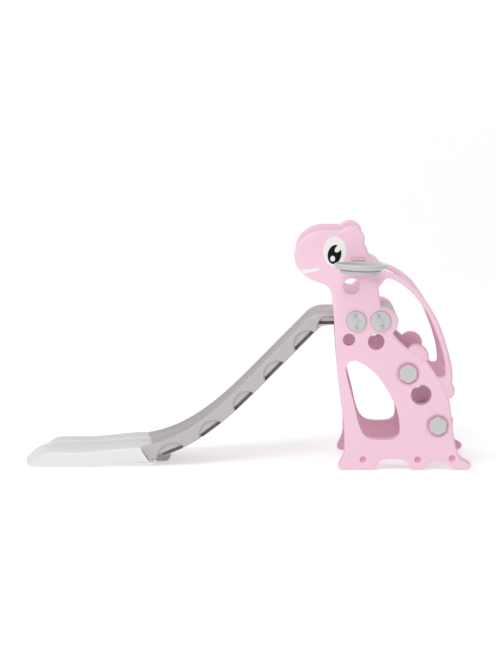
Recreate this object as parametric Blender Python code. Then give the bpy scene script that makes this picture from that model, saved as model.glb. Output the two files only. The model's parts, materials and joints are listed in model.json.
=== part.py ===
"""Toddler slide: two animal-shaped side panels, two steps, a platform, a
double-wall chute with a removable extension, and a clip-in ball hoop.

Drawing frame, in metres: +Z up, the floor at Z = 0, the middle of the frame at
Y = 0, X = 0 near the front foot of the panels, the chute running towards -X and
the steps towards +X. A child going down faces -X, so the left side is -Y.
At the end the whole slide is moved so that its origin is on the floor under the
middle of its overall box.
"""

import math

import bmesh
import bpy
from mathutils import Vector
from mathutils.geometry import tessellate_polygon

# ---- driving dimensions ---------------------------------------------------

STEP_RISE = 0.195          # floor to step, step to step, step to platform
RISES = 3                  # two steps and the platform
HEAD_RISE = 0.320          # platform up to the top of the head
BASE_LENGTH = 0.490        # front foot to tail foot

PANEL_GAP = 0.360          # between the inner faces of the two panels
PANEL_THICK = 0.050        # a blow-moulded panel, front skin to back skin
PANEL_ROUND = 0.008        # rounding of the panel's edges
HOLE_ROUND = 0.003         # rounding of the hole rims
RAIL_SETBACK = 0.0025      # the handrail is this much thinner on each face

STEP_DEPTH = 0.115
STEP_THICK = 0.045
STEP_ROUND = 0.010
STEP_CENTRES = (0.360, 0.250)      # lower step, upper step
PLATFORM_FRONT = 0.012
PLATFORM_DEPTH = 0.195
SEAT_DEPTH = 0.006         # how far a board end sits into the panel
SEAT_GAP = 0.0004          # clearance all round a seated board end

FIXING_DROP = 0.028        # fixing axis below the top of its board
PLATFORM_FIXINGS = (0.058, 0.148)
STEM_RADIUS = 0.014
STEM_REACH = 0.030         # stem past the panel's inner face, into the board
STEM_GAP = 0.0005          # radial clearance of a stem in its bore
STEM_CHAMFER = 0.003
BORE_SPARE = 0.002         # board bore left beyond the stem's tip
REST_GAP = 0.0003          # between faces that touch
CUT_PAST = 0.010           # how far a cutter reaches past the face it cuts

KNOB_RADIUS = 0.0365
KNOB_THICK = 0.016
KNOB_RECESS = 0.006        # depth of the round recess that the knob sits in
KNOB_CLEAR = 0.001         # recess wall to knob rim
GRIP_LENGTH = 0.060
GRIP_WIDTH = 0.012
GRIP_HEIGHT = 0.005
GRIP_ANGLES = (-8.0, -20.0)        # how far each knob was turned when tight

CAP_RADIUS = 0.034         # hexagon, to its corners before rounding
CAP_THICK = 0.014
CAP_CORNER = 0.013
DISH_DEPTH = 0.007
DISH_FLOOR_RADIUS = 0.040
DISH_RIM_RADIUS = 0.047

CHUTE_WIDTH = 0.340
CHUTE_REACH = 0.750        # panel front to the end of the grey chute
CHUTE_WALL = 0.034         # width of the side wall at its foot
CHUTE_HEIGHT = 0.055       # wall height, square to the slope
CHUTE_FLOOR = 0.017        # floor thickness of the trough
ENTRY_DROP = 0.005         # rail below the platform's top at the entry
ENTRY_HEIGHT = 0.043       # thickness of the flat entry
ENTRY_FLOOR_DIP = 0.003    # entry floor below its rail
APEX_SETBACK = 0.101       # where entry line and slope line would meet
KNEE_HEIGHT = 0.109        # height where slope line and run-out would meet
RUNOUT_LENGTH = 0.180      # from there to the chute's end
RUNOUT_END_HEIGHT = 0.077  # rail height at the end of the grey chute
END_SLANT = 21.0           # degrees that the end is cut back
LIP_LENGTH = 0.024         # lip that hooks over the platform's front ledge
LIP_THICK = 0.016
RAIL_CREST = 0.011         # radius of the rails' outer edge

POCKET_COUNT = 6
POCKET_LENGTH = 0.103
POCKET_HEIGHT = 0.039
POCKET_POWER = 1.7         # 2 is half an ellipse, less is nearer a triangle
POCKET_DEPTH = 0.006
POCKET_FIRST = 0.045       # centre of the first, along the rails
POCKET_LAST = 0.098        # centre of the last, back from the chute's end
LAST_POCKET_LENGTH = 0.118
SCOOP_RISE = 0.015         # height of the undercut along each pocket's foot
SCOOP_DEPTH = 0.034        # how far under the chute it reaches

EXTENSION_LENGTH = 0.451
EXTENSION_HALF_WIDTH = 0.184
EXTENSION_HEIGHT = 0.0585  # rails above the floor, away from the chute
EXTENSION_FLOOR = 0.020    # trough above the floor, away from the chute
RAIL_RISE = 0.0175         # how much higher the rails are at the chute
FLOOR_RISE = 0.013         # the same for the trough
UNDER_RISE = 0.021         # the same for the underside
RISE_RUN = 0.250           # the length over which these rises happen
NOSE_STATIONS = (          # from the tip: distance, shares of the width and of the
    (0.110, 1.000, 1.000, 0.0000),         # rail height, and how far the underside lifts
    (0.086, 0.990, 0.930, 0.0000),
    (0.068, 0.970, 0.740, 0.0000),
    (0.051, 0.949, 0.550, 0.0000),
    (0.035, 0.913, 0.455, 0.0000),
    (0.022, 0.815, 0.400, 0.0015),
    (0.015, 0.717, 0.360, 0.0040),
    (0.008, 0.543, 0.300, 0.0060),
    (0.003, 0.380, 0.240, 0.0065),
    (0.000, 0.217, 0.214, 0.0068),
)
EXTENSION_CORNER = 0.010   # rounding of its lower edges
EXTENSION_WALL = 0.030
JOINT_GAP = 0.001          # between the chute's end and the extension
TONGUE_HALF_WIDTH = 0.120
TONGUE_THICK = 0.012

FOOT_LENGTH = 0.0565
FOOT_HALF_WIDTH = 0.045
FOOT_START = 0.045         # from the chute's end back to the foot

HOOP_RADIUS = 0.0955       # outside of the rim
HOOP_BAND = 0.020          # rim height
HOOP_WALL = 0.017          # rim width, outside to inside
HOOP_STANDOFF = 0.012      # panel face to the rim
HOOP_X = 0.0710             # middle of the ring
SOCKET_X = 0.0670           # middle of its socket
HOOP_ABOVE_PLATFORM = 0.182
HOOP_TILT = 2.0            # degrees of sag towards the back
SKIRT_RADIUS = 0.0715      # the skirt hangs inside the rim
SKIRT_WALL = 0.006
SKIRT_DROP = 0.015         # below the rim, between the lobes
LOBE_DROP = 0.006          # the net lobes hang lower by this much
LOBE_COUNT = 8
SOCKET_WIDTH = 0.049
SOCKET_HEIGHT = 0.027
SOCKET_DEPTH = 0.032
SURROUND_HEIGHT = 0.042    # the shallow recess round the socket
SURROUND_DEPTH = 0.002
SURROUND_CLEAR = 0.003
SPIGOT_GAP = 0.0015

EYE_CENTRE = (-20.0, 813.0)        # on the panel drawing, in millimetres
EYE_HALF_WIDTH = 0.0425
EYE_HALF_HEIGHT = 0.057
STICKER_THICK = 0.0008
PUPIL_HALF_WIDTH = 0.0245
PUPIL_HALF_HEIGHT = 0.0352
PUPIL_LEAN = -12.0
PUPIL_OFFSET = (-0.0016, -0.010)   # from the middle of the eye
GLINTS = ((0.0125, 0.0200, 0.0115), (-0.0069, -0.0154, 0.0097))
MOUTH_DEPTH = 0.003

OUTLINE_STEP = 0.018       # spacing of points along a curved outline
HOLE_SIDES = 22
ROUND_SIDES = 26
STEM_SIDES = 16

# ---- sizes that follow from them -------------------------------------------

PLATFORM_TOP = STEP_RISE * RISES
HALF_GAP = PANEL_GAP / 2
OUTER_FACE = HALF_GAP + PANEL_THICK
BOARD_HALF = HALF_GAP + SEAT_DEPTH - REST_GAP
RAIL_TOP = PLATFORM_TOP - ENTRY_DROP
BORE_RADIUS = STEM_RADIUS + STEM_GAP

# The panel is drawn in millimetres on this grid, then stretched to the sizes
# above: along X by the base, and along Z below and above the platform apart.
DRAWN_BASE = 490.0
DRAWN_PLATFORM = 585.0
DRAWN_HEAD = 320.0

SIDES = {"left": -1, "right": 1}


def on_panel(x_mm, z_mm):
    """A point of the panel drawing, in metres."""
    x = x_mm / DRAWN_BASE * BASE_LENGTH
    if z_mm <= DRAWN_PLATFORM:
        return (x, z_mm / DRAWN_PLATFORM * PLATFORM_TOP)
    return (x, PLATFORM_TOP + (z_mm - DRAWN_PLATFORM) / DRAWN_HEAD * HEAD_RISE)


# ---- outlines ----------------------------------------------------------------

def smooth_through(points):
    """A smooth curve through the points, sampled every OUTLINE_STEP."""
    points = [Vector(p) for p in points]
    ends = [2 * points[0] - points[1]] + points + [2 * points[-1] - points[-2]]
    curve = []
    for a, b, c, d in zip(ends, ends[1:], ends[2:], ends[3:]):
        count = max(1, round((c - b).length / OUTLINE_STEP))
        for i in range(count):
            t = i / count
            curve.append(0.5 * (2 * b + (c - a) * t
                                + (2 * a - 5 * b + 4 * c - d) * t * t
                                + (3 * b - a - 3 * c + d) * t * t * t))
    curve.append(points[-1])
    return [tuple(p) for p in curve]


def arc(centre, radius, start, end, count):
    """Points on a circle from one angle to another, in degrees."""
    angles = [math.radians(start + (end - start) * i / count) for i in range(count + 1)]
    return [(centre[0] + radius * math.cos(a), centre[1] + radius * math.sin(a))
            for a in angles]


def circle(centre, radius, sides=HOLE_SIDES):
    return arc(centre, radius, 0, 360, sides)[:-1]


def ellipse(half_width, half_height, lean=0.0, sides=ROUND_SIDES):
    """An oval about the origin, leaning by an angle in degrees."""
    turn = math.radians(lean)
    points = []
    for i in range(sides):
        a = 2 * math.pi * i / sides
        x = half_width * math.cos(a)
        z = half_height * math.sin(a)
        points.append((x * math.cos(turn) - z * math.sin(turn),
                       x * math.sin(turn) + z * math.cos(turn)))
    return points


def rounded_box(x0, x1, z0, z1, radius, count=3):
    """A rectangle with round corners, counter-clockwise."""
    points = []
    corners = (((x1 - radius, z0 + radius), -90), ((x1 - radius, z1 - radius), 0),
               ((x0 + radius, z1 - radius), 90), ((x0 + radius, z0 + radius), 180))
    for centre, start in corners:
        points += arc(centre, radius, start, start + 90, count)
    return points


def joined(*strokes):
    """Strokes drawn one after the other, without their double points."""
    outline = []
    for stroke in strokes:
        for point in stroke:
            if not outline or (Vector(point) - Vector(outline[-1])).length > 1e-5:
                outline.append(point)
    if (Vector(outline[0]) - Vector(outline[-1])).length < 1e-5:
        outline.pop()
    return outline


def signed_area(loop):
    return 0.5 * sum(a[0] * b[1] - b[0] * a[1] for a, b in zip(loop, loop[1:] + loop[:1]))


def counter_clockwise(loop):
    return loop if signed_area(loop) > 0 else loop[::-1]


def moved_inward(loop, distance):
    """A counter-clockwise loop with each point moved to its left."""
    result = []
    count = len(loop)
    for i in range(count):
        before = Vector(loop[i]) - Vector(loop[i - 1])
        after = Vector(loop[(i + 1) % count]) - Vector(loop[i])
        before.normalize()
        after.normalize()
        normal = Vector((-before.y - after.y, before.x + after.x))
        normal /= max(0.5, normal.length_squared / 2)
        result.append((loop[i][0] + normal.x * distance, loop[i][1] + normal.y * distance))
    return result


def drawn(points_mm):
    """A smooth stroke of the panel drawing."""
    return smooth_through([on_panel(x, z) for x, z in points_mm])


def body_outline():
    """Head, neck, body and feet, with the spike beside the rear knob."""
    front = drawn([(15, 82), (12, 168), (2, 252), (-9, 340), (-17, 446), (-23, 551),
                   (-28, 625), (-31, 652), (-37, 672), (-48, 686), (-60, 694)])
    jaw_and_brow = drawn([(-60, 694), (-85, 702), (-110, 712), (-131, 726), (-148, 742),
                          (-159, 759), (-166, 777), (-169, 796), (-165, 822), (-150, 849),
                          (-132, 867), (-110, 880), (-87, 888), (-56, 891), (-25, 891),
                          (2, 889)])
    crest = drawn([(2, 889), (9, 893), (21, 900), (40, 905), (57, 903), (74, 893)])
    nape = drawn([(74, 893), (84, 880), (89, 862), (87, 840)])
    neck = drawn([(87, 840), (97, 819), (109, 795), (122, 760), (132, 720), (138, 685),
                  (142, 660), (147, 622), (150, 606)])
    spike = arc(on_panel(159, 553), 0.0535, 96, -47, 12)
    back = drawn([(197, 505), (222, 477), (254, 450), (288, 430), (323, 401), (362, 343),
                  (386, 300), (402, 258), (407, 222), (414, 172), (420, 124), (429, 82),
                  (440, 54), (456, 39), (473, 30)])
    tail = drawn([(473, 30), (482, 21), (480, 10), (468, 2), (456, 0)])
    rear_arch = drawn([(438, 0), (420, 6), (400, 18), (376, 29), (352, 34), (331, 29),
                       (318, 15), (307, 3), (296, 0)])
    front_arch = drawn([(270, 0), (260, 8), (250, 27), (230, 39), (192, 42), (156, 39),
                        (138, 25), (129, 8), (118, 0)])
    toe = drawn([(12, 0), (-2, 4), (-8, 15), (-2, 32), (9, 54), (15, 82)])
    return joined(front, jaw_and_brow, crest, nape, neck, spike, back, tail,
                  rear_arch, front_arch, toe)


def rail_outline():
    """The arched handrail, its lower web and the lowest spike."""
    outer = drawn([(110, 776), (125, 772), (139, 765), (147, 756), (155, 746), (166, 740),
                   (184, 734), (208, 725), (228, 715), (250, 700), (284, 670),
                   (312, 632), (340, 588), (365, 538), (384, 484), (400, 430), (410.5, 382),
                   (413.5, 334)])
    spike = arc(on_panel(385, 297), 0.0362, 48, -48, 6)
    inside_body = [on_panel(380, 262), on_panel(330, 349)]
    opening_floor = [on_panel(360, 349), on_panel(378, 349)]
    inner = drawn([(384.5, 356), (384.5, 376), (379, 418), (364, 474), (344, 528), (320, 582),
                   (288, 630), (254, 669), (222, 694), (190, 711), (172, 715)])
    root = drawn([(172, 715), (161, 706), (150, 691), (138, 678)])
    inside_neck = [on_panel(95, 672), on_panel(70, 775)]
    return joined(outer, spike, inside_body, opening_floor, inner, root, inside_neck)


def teardrop_hole():
    return joined(drawn([(55, 411), (33, 405), (22, 390), (22, 366), (33, 316), (49, 256),
                         (65, 184), (82, 142), (104, 122), (132, 116), (160, 115),
                         (190, 117), (209, 126), (218, 142), (219, 166), (212, 212),
                         (199, 250), (167, 310), (128, 363), (90, 394), (55, 411)]))


ROUND_HOLES = (((41, 685), 0.0300), ((32, 488), 0.0222), ((132, 480), 0.0302),
               ((298, 282), 0.0378))
DIMPLES = ((84, 41), (286, 40), (413, 45))
DIMPLE_RADIUS = 0.015
DIMPLE_DEPTH = 0.006
DIMPLE_TIP_RADIUS = 0.003


# ---- meshes --------------------------------------------------------------------

def material(name, colour, roughness):
    """A plain plastic; the colour is linear."""
    plastic = bpy.data.materials.new(name)
    plastic.use_nodes = True
    shader = plastic.node_tree.nodes["Principled BSDF"]
    shader.inputs["Base Color"].default_value = (*colour, 1)
    shader.inputs["Roughness"].default_value = roughness
    shader.inputs["Metallic"].default_value = 0.0
    return plastic


COLOURS = {
    "pink": ((0.87, 0.55, 0.68), 0.45),
    "grey": ((0.46, 0.44, 0.45), 0.40),
    "light_grey": ((0.60, 0.60, 0.60), 0.40),
    "white": ((0.83, 0.83, 0.82), 0.35),
    "black": ((0.01, 0.01, 0.01), 0.40),
}


def add_object(name, mesh, colour=None):
    """A named part with its own material, or a cutter when it has no colour."""
    part = bpy.data.objects.new(name, mesh)
    bpy.context.scene.collection.objects.link(part)
    if colour:
        mesh.materials.append(material(name + "_plastic", *COLOURS[colour]))
    else:
        part.hide_render = True
        part.display_type = "WIRE"
    return part


def mesh_from(name, vertices, faces, sharp_degrees=35):
    """A closed mesh with its faces pointing out and its flat faces whole."""
    mesh = bpy.data.meshes.new(name)
    mesh.from_pydata([tuple(v) for v in vertices], [], faces)
    work = bmesh.new()
    work.from_mesh(mesh)
    bmesh.ops.remove_doubles(work, verts=work.verts, dist=1e-6)
    bmesh.ops.recalc_face_normals(work, faces=work.faces)
    bmesh.ops.dissolve_limit(work, angle_limit=math.radians(0.05), verts=work.verts,
                             edges=work.edges)
    work.to_mesh(mesh)
    work.free()
    mesh.shade_smooth()
    mesh.set_sharp_from_angle(angle=math.radians(sharp_degrees))
    return mesh


def loft(name, loops, sharp_degrees=35):
    """A skin over loops with the same number of points, closed at both ends."""
    count = len(loops[0])
    vertices = [point for loop in loops for point in loop]
    faces = []
    for k in range(len(loops) - 1):
        for i in range(count):
            j = (i + 1) % count
            faces.append((k * count + i, k * count + j,
                          (k + 1) * count + j, (k + 1) * count + i))
    faces.append(tuple(range(count)))
    faces.append(tuple((len(loops) - 1) * count + i for i in reversed(range(count))))
    return mesh_from(name, vertices, faces, sharp_degrees)


def inset_at(depth, radius):
    """How far a rounded edge stands back at a depth below the face."""
    if depth >= radius:
        return 0.0
    return radius - math.sqrt(radius ** 2 - (radius - depth) ** 2)


def slab(name, outline, holes, y0, y1, rounding, hole_rounding=None):
    """A plate in the XZ plane from y0 to y1, its outline and hole rims rounded."""
    rims = [counter_clockwise(outline)] + [counter_clockwise(h)[::-1] for h in holes]
    radii = [rounding] + [hole_rounding or rounding] * len(holes)
    direction = 1 if y1 > y0 else -1
    depths = sorted({0.0, rounding, hole_rounding or rounding})
    stack = [(depth, y0 + direction * depth) for depth in depths]
    stack += [(depth, y1 - direction * depth) for depth in reversed(depths)]

    vertices = []
    faces = []
    first_of_level = []
    for depth, y in stack:
        first_of_level.append(len(vertices))
        for rim, radius in zip(rims, radii):
            vertices += [(x, y, z) for x, z in moved_inward(rim, inset_at(depth, radius))]
    start = 0
    for rim in rims:
        for low, high in zip(first_of_level, first_of_level[1:]):
            for i in range(len(rim)):
                j = (i + 1) % len(rim)
                faces.append((low + start + i, low + start + j,
                              high + start + j, high + start + i))
        start += len(rim)
    flat = [[Vector((x, z, 0)) for x, z in moved_inward(rim, radius)]
            for rim, radius in zip(rims, radii)]
    for triangle in tessellate_polygon(flat):
        faces.append(tuple(triangle))
        faces.append(tuple(first_of_level[-1] + i for i in reversed(triangle)))
    return mesh_from(name, vertices, faces)


def turned(name, profile, sides):
    """A solid turned about its own Z axis from (radius, height) points."""
    loops = []
    for radius, height in profile:
        loops.append([(x, y, height) for x, y in circle((0, 0), radius, sides)])
    return loft(name, loops)


def boolean(part, other, operation):
    step = part.modifiers.new(operation.lower() + "_" + other.name, "BOOLEAN")
    step.operation = operation
    step.solver = "EXACT"
    step.object = other


def outward(part, x, z, side, face):
    """Stand a part's own Z axis out of the panel's outer face."""
    part.location = (x, side * face, z)
    part.rotation_euler = (math.radians(-90 * side), 0, 0)


# ---- side panels -----------------------------------------------------------------

def fixing_places():
    """Each fixing: its kind, its board and its place on the panel."""
    places = []
    for name, x in zip(("front_knob", "rear_knob"), PLATFORM_FIXINGS):
        places.append((name, x, PLATFORM_TOP - FIXING_DROP))
    for name, x, level in zip(("lower_cap", "upper_cap"), STEP_CENTRES, (1, 2)):
        places.append((name, x, level * STEP_RISE - FIXING_DROP))
    return places


def board_boxes():
    """The end outlines of the platform and the two steps: x0, x1, z0, z1."""
    boxes = {"platform": (PLATFORM_FRONT, PLATFORM_FRONT + PLATFORM_DEPTH,
                          PLATFORM_TOP - STEP_THICK, PLATFORM_TOP)}
    for name, x, level in zip(("lower_step", "upper_step"), STEP_CENTRES, (1, 2)):
        top = level * STEP_RISE
        boxes[name] = (x - STEP_DEPTH / 2, x + STEP_DEPTH / 2, top - STEP_THICK, top)
    return boxes


def fixing_cutter(name, kind, x, z, side):
    """The stem's bore, with a straight recess for a knob or a dish for a cap."""
    if kind.endswith("knob"):
        radius = KNOB_RADIUS + KNOB_CLEAR
        rim = [(radius, CUT_PAST), (radius, -KNOB_RECESS)]
        floor = -KNOB_RECESS
    else:
        slope = (DISH_RIM_RADIUS - DISH_FLOOR_RADIUS) / DISH_DEPTH
        rim = [(DISH_RIM_RADIUS + CUT_PAST * slope, CUT_PAST), (DISH_FLOOR_RADIUS, -DISH_DEPTH)]
        floor = -DISH_DEPTH
    profile = rim + [(BORE_RADIUS, floor), (BORE_RADIUS, -PANEL_THICK - CUT_PAST)]
    cutter = add_object(name, turned(name, profile, ROUND_SIDES))
    outward(cutter, x, z, side, OUTER_FACE)
    return cutter


def mouth_outline():
    """A smile that runs out past the snout, drawn on the panel."""
    upper = drawn([(-190, 744), (-147, 747), (-112, 749), (-93, 753), (-82, 755)])
    lower = drawn([(-77, 750), (-80, 745), (-97, 740), (-132, 733), (-190, 722)])
    return joined(upper, lower)


def build_panel(side_name):
    side = SIDES[side_name]
    inner = side * HALF_GAP
    outer = side * OUTER_FACE
    name = side_name + "_panel"
    holes = [circle(on_panel(*centre), radius) for centre, radius in ROUND_HOLES]
    holes.append(teardrop_hole())
    panel = add_object(name, slab(name, body_outline(), holes, inner, outer, PANEL_ROUND,
                                  HOLE_ROUND), "pink")

    rail = add_object(name + "_rail",
                      slab(name + "_rail", rail_outline(), [], inner + side * RAIL_SETBACK,
                           outer - side * RAIL_SETBACK, PANEL_ROUND))
    boolean(panel, rail, "UNION")
    spike = add_object(name + "_spike",
                       slab(name + "_spike", circle(on_panel(281, 425), 0.0440), [],
                            inner + side * RAIL_SETBACK * 1.2,
                            outer - side * RAIL_SETBACK * 1.2, PANEL_ROUND))
    boolean(panel, spike, "UNION")

    for kind, x, z in fixing_places():
        boolean(panel, fixing_cutter(name + "_" + kind + "_bore", kind, x, z, side),
                "DIFFERENCE")
    for board, (x0, x1, z0, z1) in board_boxes().items():
        seat = rounded_box(x0 - SEAT_GAP, x1 + SEAT_GAP, z0 - SEAT_GAP, z1 + SEAT_GAP,
                           STEP_ROUND + SEAT_GAP)
        cutter = add_object(name + "_" + board + "_seat",
                            slab(name + "_seat", seat, [], inner - side * CUT_PAST,
                                 inner + side * SEAT_DEPTH, 0))
        boolean(panel, cutter, "DIFFERENCE")
    for i, (x_mm, z_mm) in enumerate(DIMPLES):
        x, z = on_panel(x_mm, z_mm)
        mouth_radius = DIMPLE_RADIUS * (1 + CUT_PAST / DIMPLE_DEPTH)
        profile = [(mouth_radius, CUT_PAST), (DIMPLE_TIP_RADIUS, -DIMPLE_DEPTH)]
        cutter = add_object(f"{name}_dimple_{i}", turned(name + "_dimple", profile, 20))
        outward(cutter, x, z, side, OUTER_FACE)
        boolean(panel, cutter, "DIFFERENCE")
    return panel


def build_mouth(side_name, panel):
    """A white inlay, cut from the panel's own skin so that it is flush."""
    side = SIDES[side_name]
    outer = side * OUTER_FACE
    deep = outer - side * MOUTH_DEPTH
    groove_outline = mouth_outline()
    groove = add_object(side_name + "_mouth_groove",
                        slab("groove", groove_outline, [], deep, outer + side * CUT_PAST, 0))
    boolean(panel, groove, "DIFFERENCE")
    strip_outline = moved_inward(counter_clockwise(groove_outline), REST_GAP)
    strip = slab(side_name + "_mouth", strip_outline, [], deep + side * REST_GAP,
                 outer + side * CUT_PAST, 0)
    mouth = add_object(side_name + "_mouth", strip, "white")
    skin = add_object(side_name + "_mouth_skin",
                      slab("skin", body_outline(), [], side * HALF_GAP, outer, PANEL_ROUND))
    boolean(mouth, skin, "INTERSECT")
    return mouth


def build_eye(side_name):
    """An oval white sticker and a dark pupil with two round glints."""
    side = SIDES[side_name]
    x, z = on_panel(*EYE_CENTRE)
    near = OUTER_FACE + REST_GAP
    oval = [(x + dx, z + dz) for dx, dz in ellipse(EYE_HALF_WIDTH, EYE_HALF_HEIGHT)]
    add_object(side_name + "_eye",
               slab(side_name + "_eye", oval, [], side * near,
                    side * (near + STICKER_THICK), 0), "white")
    near += STICKER_THICK + REST_GAP
    px = x + PUPIL_OFFSET[0]
    pz = z + PUPIL_OFFSET[1]
    dark = [(px + dx, pz + dz)
            for dx, dz in ellipse(PUPIL_HALF_WIDTH, PUPIL_HALF_HEIGHT, PUPIL_LEAN)]
    pupil = add_object(side_name + "_pupil",
                       slab(side_name + "_pupil", dark, [], side * near,
                            side * (near + STICKER_THICK), 0), "black")
    for i, (dx, dz, radius) in enumerate(GLINTS):
        glint = add_object(f"{side_name}_glint_{i}",
                           slab("glint", circle((px + dx, pz + dz), radius, 20), [],
                                side * (near - CUT_PAST), side * (near + CUT_PAST), 0))
        boolean(pupil, glint, "DIFFERENCE")


# ---- boards and their fixings -------------------------------------------------------

def build_board(name, box):
    """A step or the platform: a rounded board whose ends take the stems."""
    x0, x1, z0, z1 = box
    outline = rounded_box(x0, x1, z0, z1, STEP_ROUND)
    board = add_object(name, slab(name, outline, [], -BOARD_HALF, BOARD_HALF, 0), "grey")
    for kind, x, z in fixing_places():
        if not x0 < x < x1:
            continue
        if not z0 < z < z1:
            continue
        for side_name, side in SIDES.items():
            start = side * (BOARD_HALF + CUT_PAST)
            end = side * (HALF_GAP - STEM_REACH - BORE_SPARE)
            bore_name = f"{name}_{kind}_{side_name}_bore"
            bore = slab(bore_name, circle((x, z), BORE_RADIUS, STEM_SIDES), [], start, end, 0)
            boolean(board, add_object(bore_name, bore), "DIFFERENCE")
    return board


def stem_profile():
    """The stem as (radius, height), from its chamfered tip to its full width."""
    tip = -(PANEL_THICK + STEM_REACH)
    return [(STEM_RADIUS - STEM_CHAMFER, tip), (STEM_RADIUS, tip + STEM_CHAMFER)]


def build_knob(side_name, kind, x, z, turn):
    """A round hand knob: a domed disc, a raised grip across it and a stem."""
    side = SIDES[side_name]
    back = -KNOB_RECESS + REST_GAP
    front = back + KNOB_THICK
    name = f"{side_name}_{kind}"
    disc = [(STEM_RADIUS, back), (KNOB_RADIUS, back), (KNOB_RADIUS, front - 0.004),
            (KNOB_RADIUS - 0.003, front)]
    knob = add_object(name, turned(name, stem_profile() + disc, ROUND_SIDES), "light_grey")
    outward(knob, x, z, side, OUTER_FACE)
    grip_outline = rounded_box(-GRIP_WIDTH / 2, GRIP_WIDTH / 2, -GRIP_LENGTH / 2,
                               GRIP_LENGTH / 2, GRIP_WIDTH / 2 - 0.001)
    low = [(u, v, front - 0.006) for u, v in grip_outline]
    mid = [(u, v, front + GRIP_HEIGHT - 0.002) for u, v in grip_outline]
    top = [(u * 0.8, v * 0.95, front + GRIP_HEIGHT) for u, v in grip_outline]
    grip = add_object(name + "_grip", loft("grip", [low, mid, top]))
    outward(grip, x, z, side, OUTER_FACE)
    grip.rotation_euler[1] = math.radians(turn)
    boolean(knob, grip, "UNION")
    return knob


def build_cap(side_name, kind, x, z):
    """A screw cap: a hexagonal head with rounded corners on a round stem."""
    side = SIDES[side_name]
    back = -DISH_DEPTH + REST_GAP
    front = back + CAP_THICK
    name = f"{side_name}_{kind}"
    inner_radius = CAP_RADIUS - CAP_CORNER
    hexagon = []
    for i in range(6):
        middle = 60 * i + 90
        a = math.radians(middle)
        centre = (inner_radius * math.cos(a), inner_radius * math.sin(a))
        hexagon += arc(centre, CAP_CORNER, middle - 30, middle + 30, 3)
    shrink = (CAP_RADIUS - 0.0025) / CAP_RADIUS
    loops = [[(u, v, back) for u, v in hexagon],
             [(u, v, front - 0.003) for u, v in hexagon],
             [(u * shrink, v * shrink, front) for u, v in hexagon]]
    cap = add_object(name, loft(name, loops), "light_grey")
    outward(cap, x, z, side, OUTER_FACE)
    stem_top = [(STEM_RADIUS, back + CAP_THICK / 3)]
    stem = add_object(name + "_stem", turned("stem", stem_profile() + stem_top, STEM_SIDES))
    outward(stem, x, z, side, OUTER_FACE)
    boolean(cap, stem, "UNION")
    return cap


# ---- chute -----------------------------------------------------------------------------

def bezier(p0, p1, p2, p3, count):
    points = []
    for i in range(count + 1):
        t = i / count
        s = 1 - t
        points.append(s ** 3 * p0 + 3 * s * s * t * p1 + 3 * s * t * t * p2 + t ** 3 * p3)
    return points


def bend(before, corner, after, length_in, length_out, count, fullness=0.62):
    """A smooth bend that leaves one straight line and joins the next."""
    start = corner + (before - corner).normalized() * length_in
    end = corner + (after - corner).normalized() * length_out
    return bezier(start, start.lerp(corner, fullness), end.lerp(corner, fullness), end, count)


def rail_path():
    """The top of the chute's rails, from the platform down to its end."""
    entry = Vector((PLATFORM_FRONT - REST_GAP, RAIL_TOP))
    apex = Vector((-APEX_SETBACK, RAIL_TOP))
    knee = Vector((RUNOUT_LENGTH - CHUTE_REACH, KNEE_HEIGHT))
    end = Vector((-CHUTE_REACH, RUNOUT_END_HEIGHT))
    top_bend = bend(entry, apex, knee, 0.036, 0.036, 7)
    run_out = (end - knee).length
    slope = (knee - apex).length
    low_bend = bend(apex, knee, end, min(0.290, 0.6 * slope), run_out, 12, 0.72)
    entry_run = [entry.lerp(top_bend[0], t) for t in (0, 0.5)]
    slope_run = [top_bend[-1].lerp(low_bend[0], i / 5) for i in range(1, 5)]
    return entry_run + top_bend + slope_run + low_bend


def ease(t):
    t = min(1.0, max(0.0, t))
    return t * t * (3 - 2 * t)


def trough_section(half_width, height, floor_depth, wall, corner=0.005):
    """Half-round rails and a dished floor: points (y, depth below the rails)."""
    corner = min(corner, height / 3)
    crest = min(RAIL_CREST, height / 3)
    half = [(0.0, -height)]
    half += arc((half_width - corner, -height + corner), corner, -90, 0, 2)
    half += arc((half_width - crest, -crest), crest, 0, 90, 3)
    top_y = half_width - crest - 0.003
    foot_y = half_width - wall
    for i in range(6):
        t = i / 5
        half.append((top_y + (foot_y - top_y) * t, -floor_depth * ease(t)))
    half.append((0.0, -floor_depth))
    mirrored = [(-y, w) for y, w in reversed(half[1:-1])]
    return half + mirrored


def square_to(path, i):
    """The direction along the path at a point, and the one square to it."""
    along = (path[min(i + 1, len(path) - 1)] - path[max(i - 1, 0)]).normalized()
    return along, Vector((along.y, -along.x))


def chute_stations():
    """Rail point, direction, upward normal, height and floor depth by station."""
    path = rail_path()
    travelled = [0.0]
    for a, b in zip(path, path[1:]):
        travelled.append(travelled[-1] + (b - a).length)
    stations = []
    for i, point in enumerate(path):
        along, up = square_to(path, i)
        grown = ease((travelled[i] - 0.035) / 0.110)
        height = ENTRY_HEIGHT + (CHUTE_HEIGHT - ENTRY_HEIGHT) * grown
        deep = CHUTE_HEIGHT - CHUTE_FLOOR
        depth = ENTRY_FLOOR_DIP + (deep - ENTRY_FLOOR_DIP) * grown
        stations.append((point, along, up, height, depth))
    return stations, travelled


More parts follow.
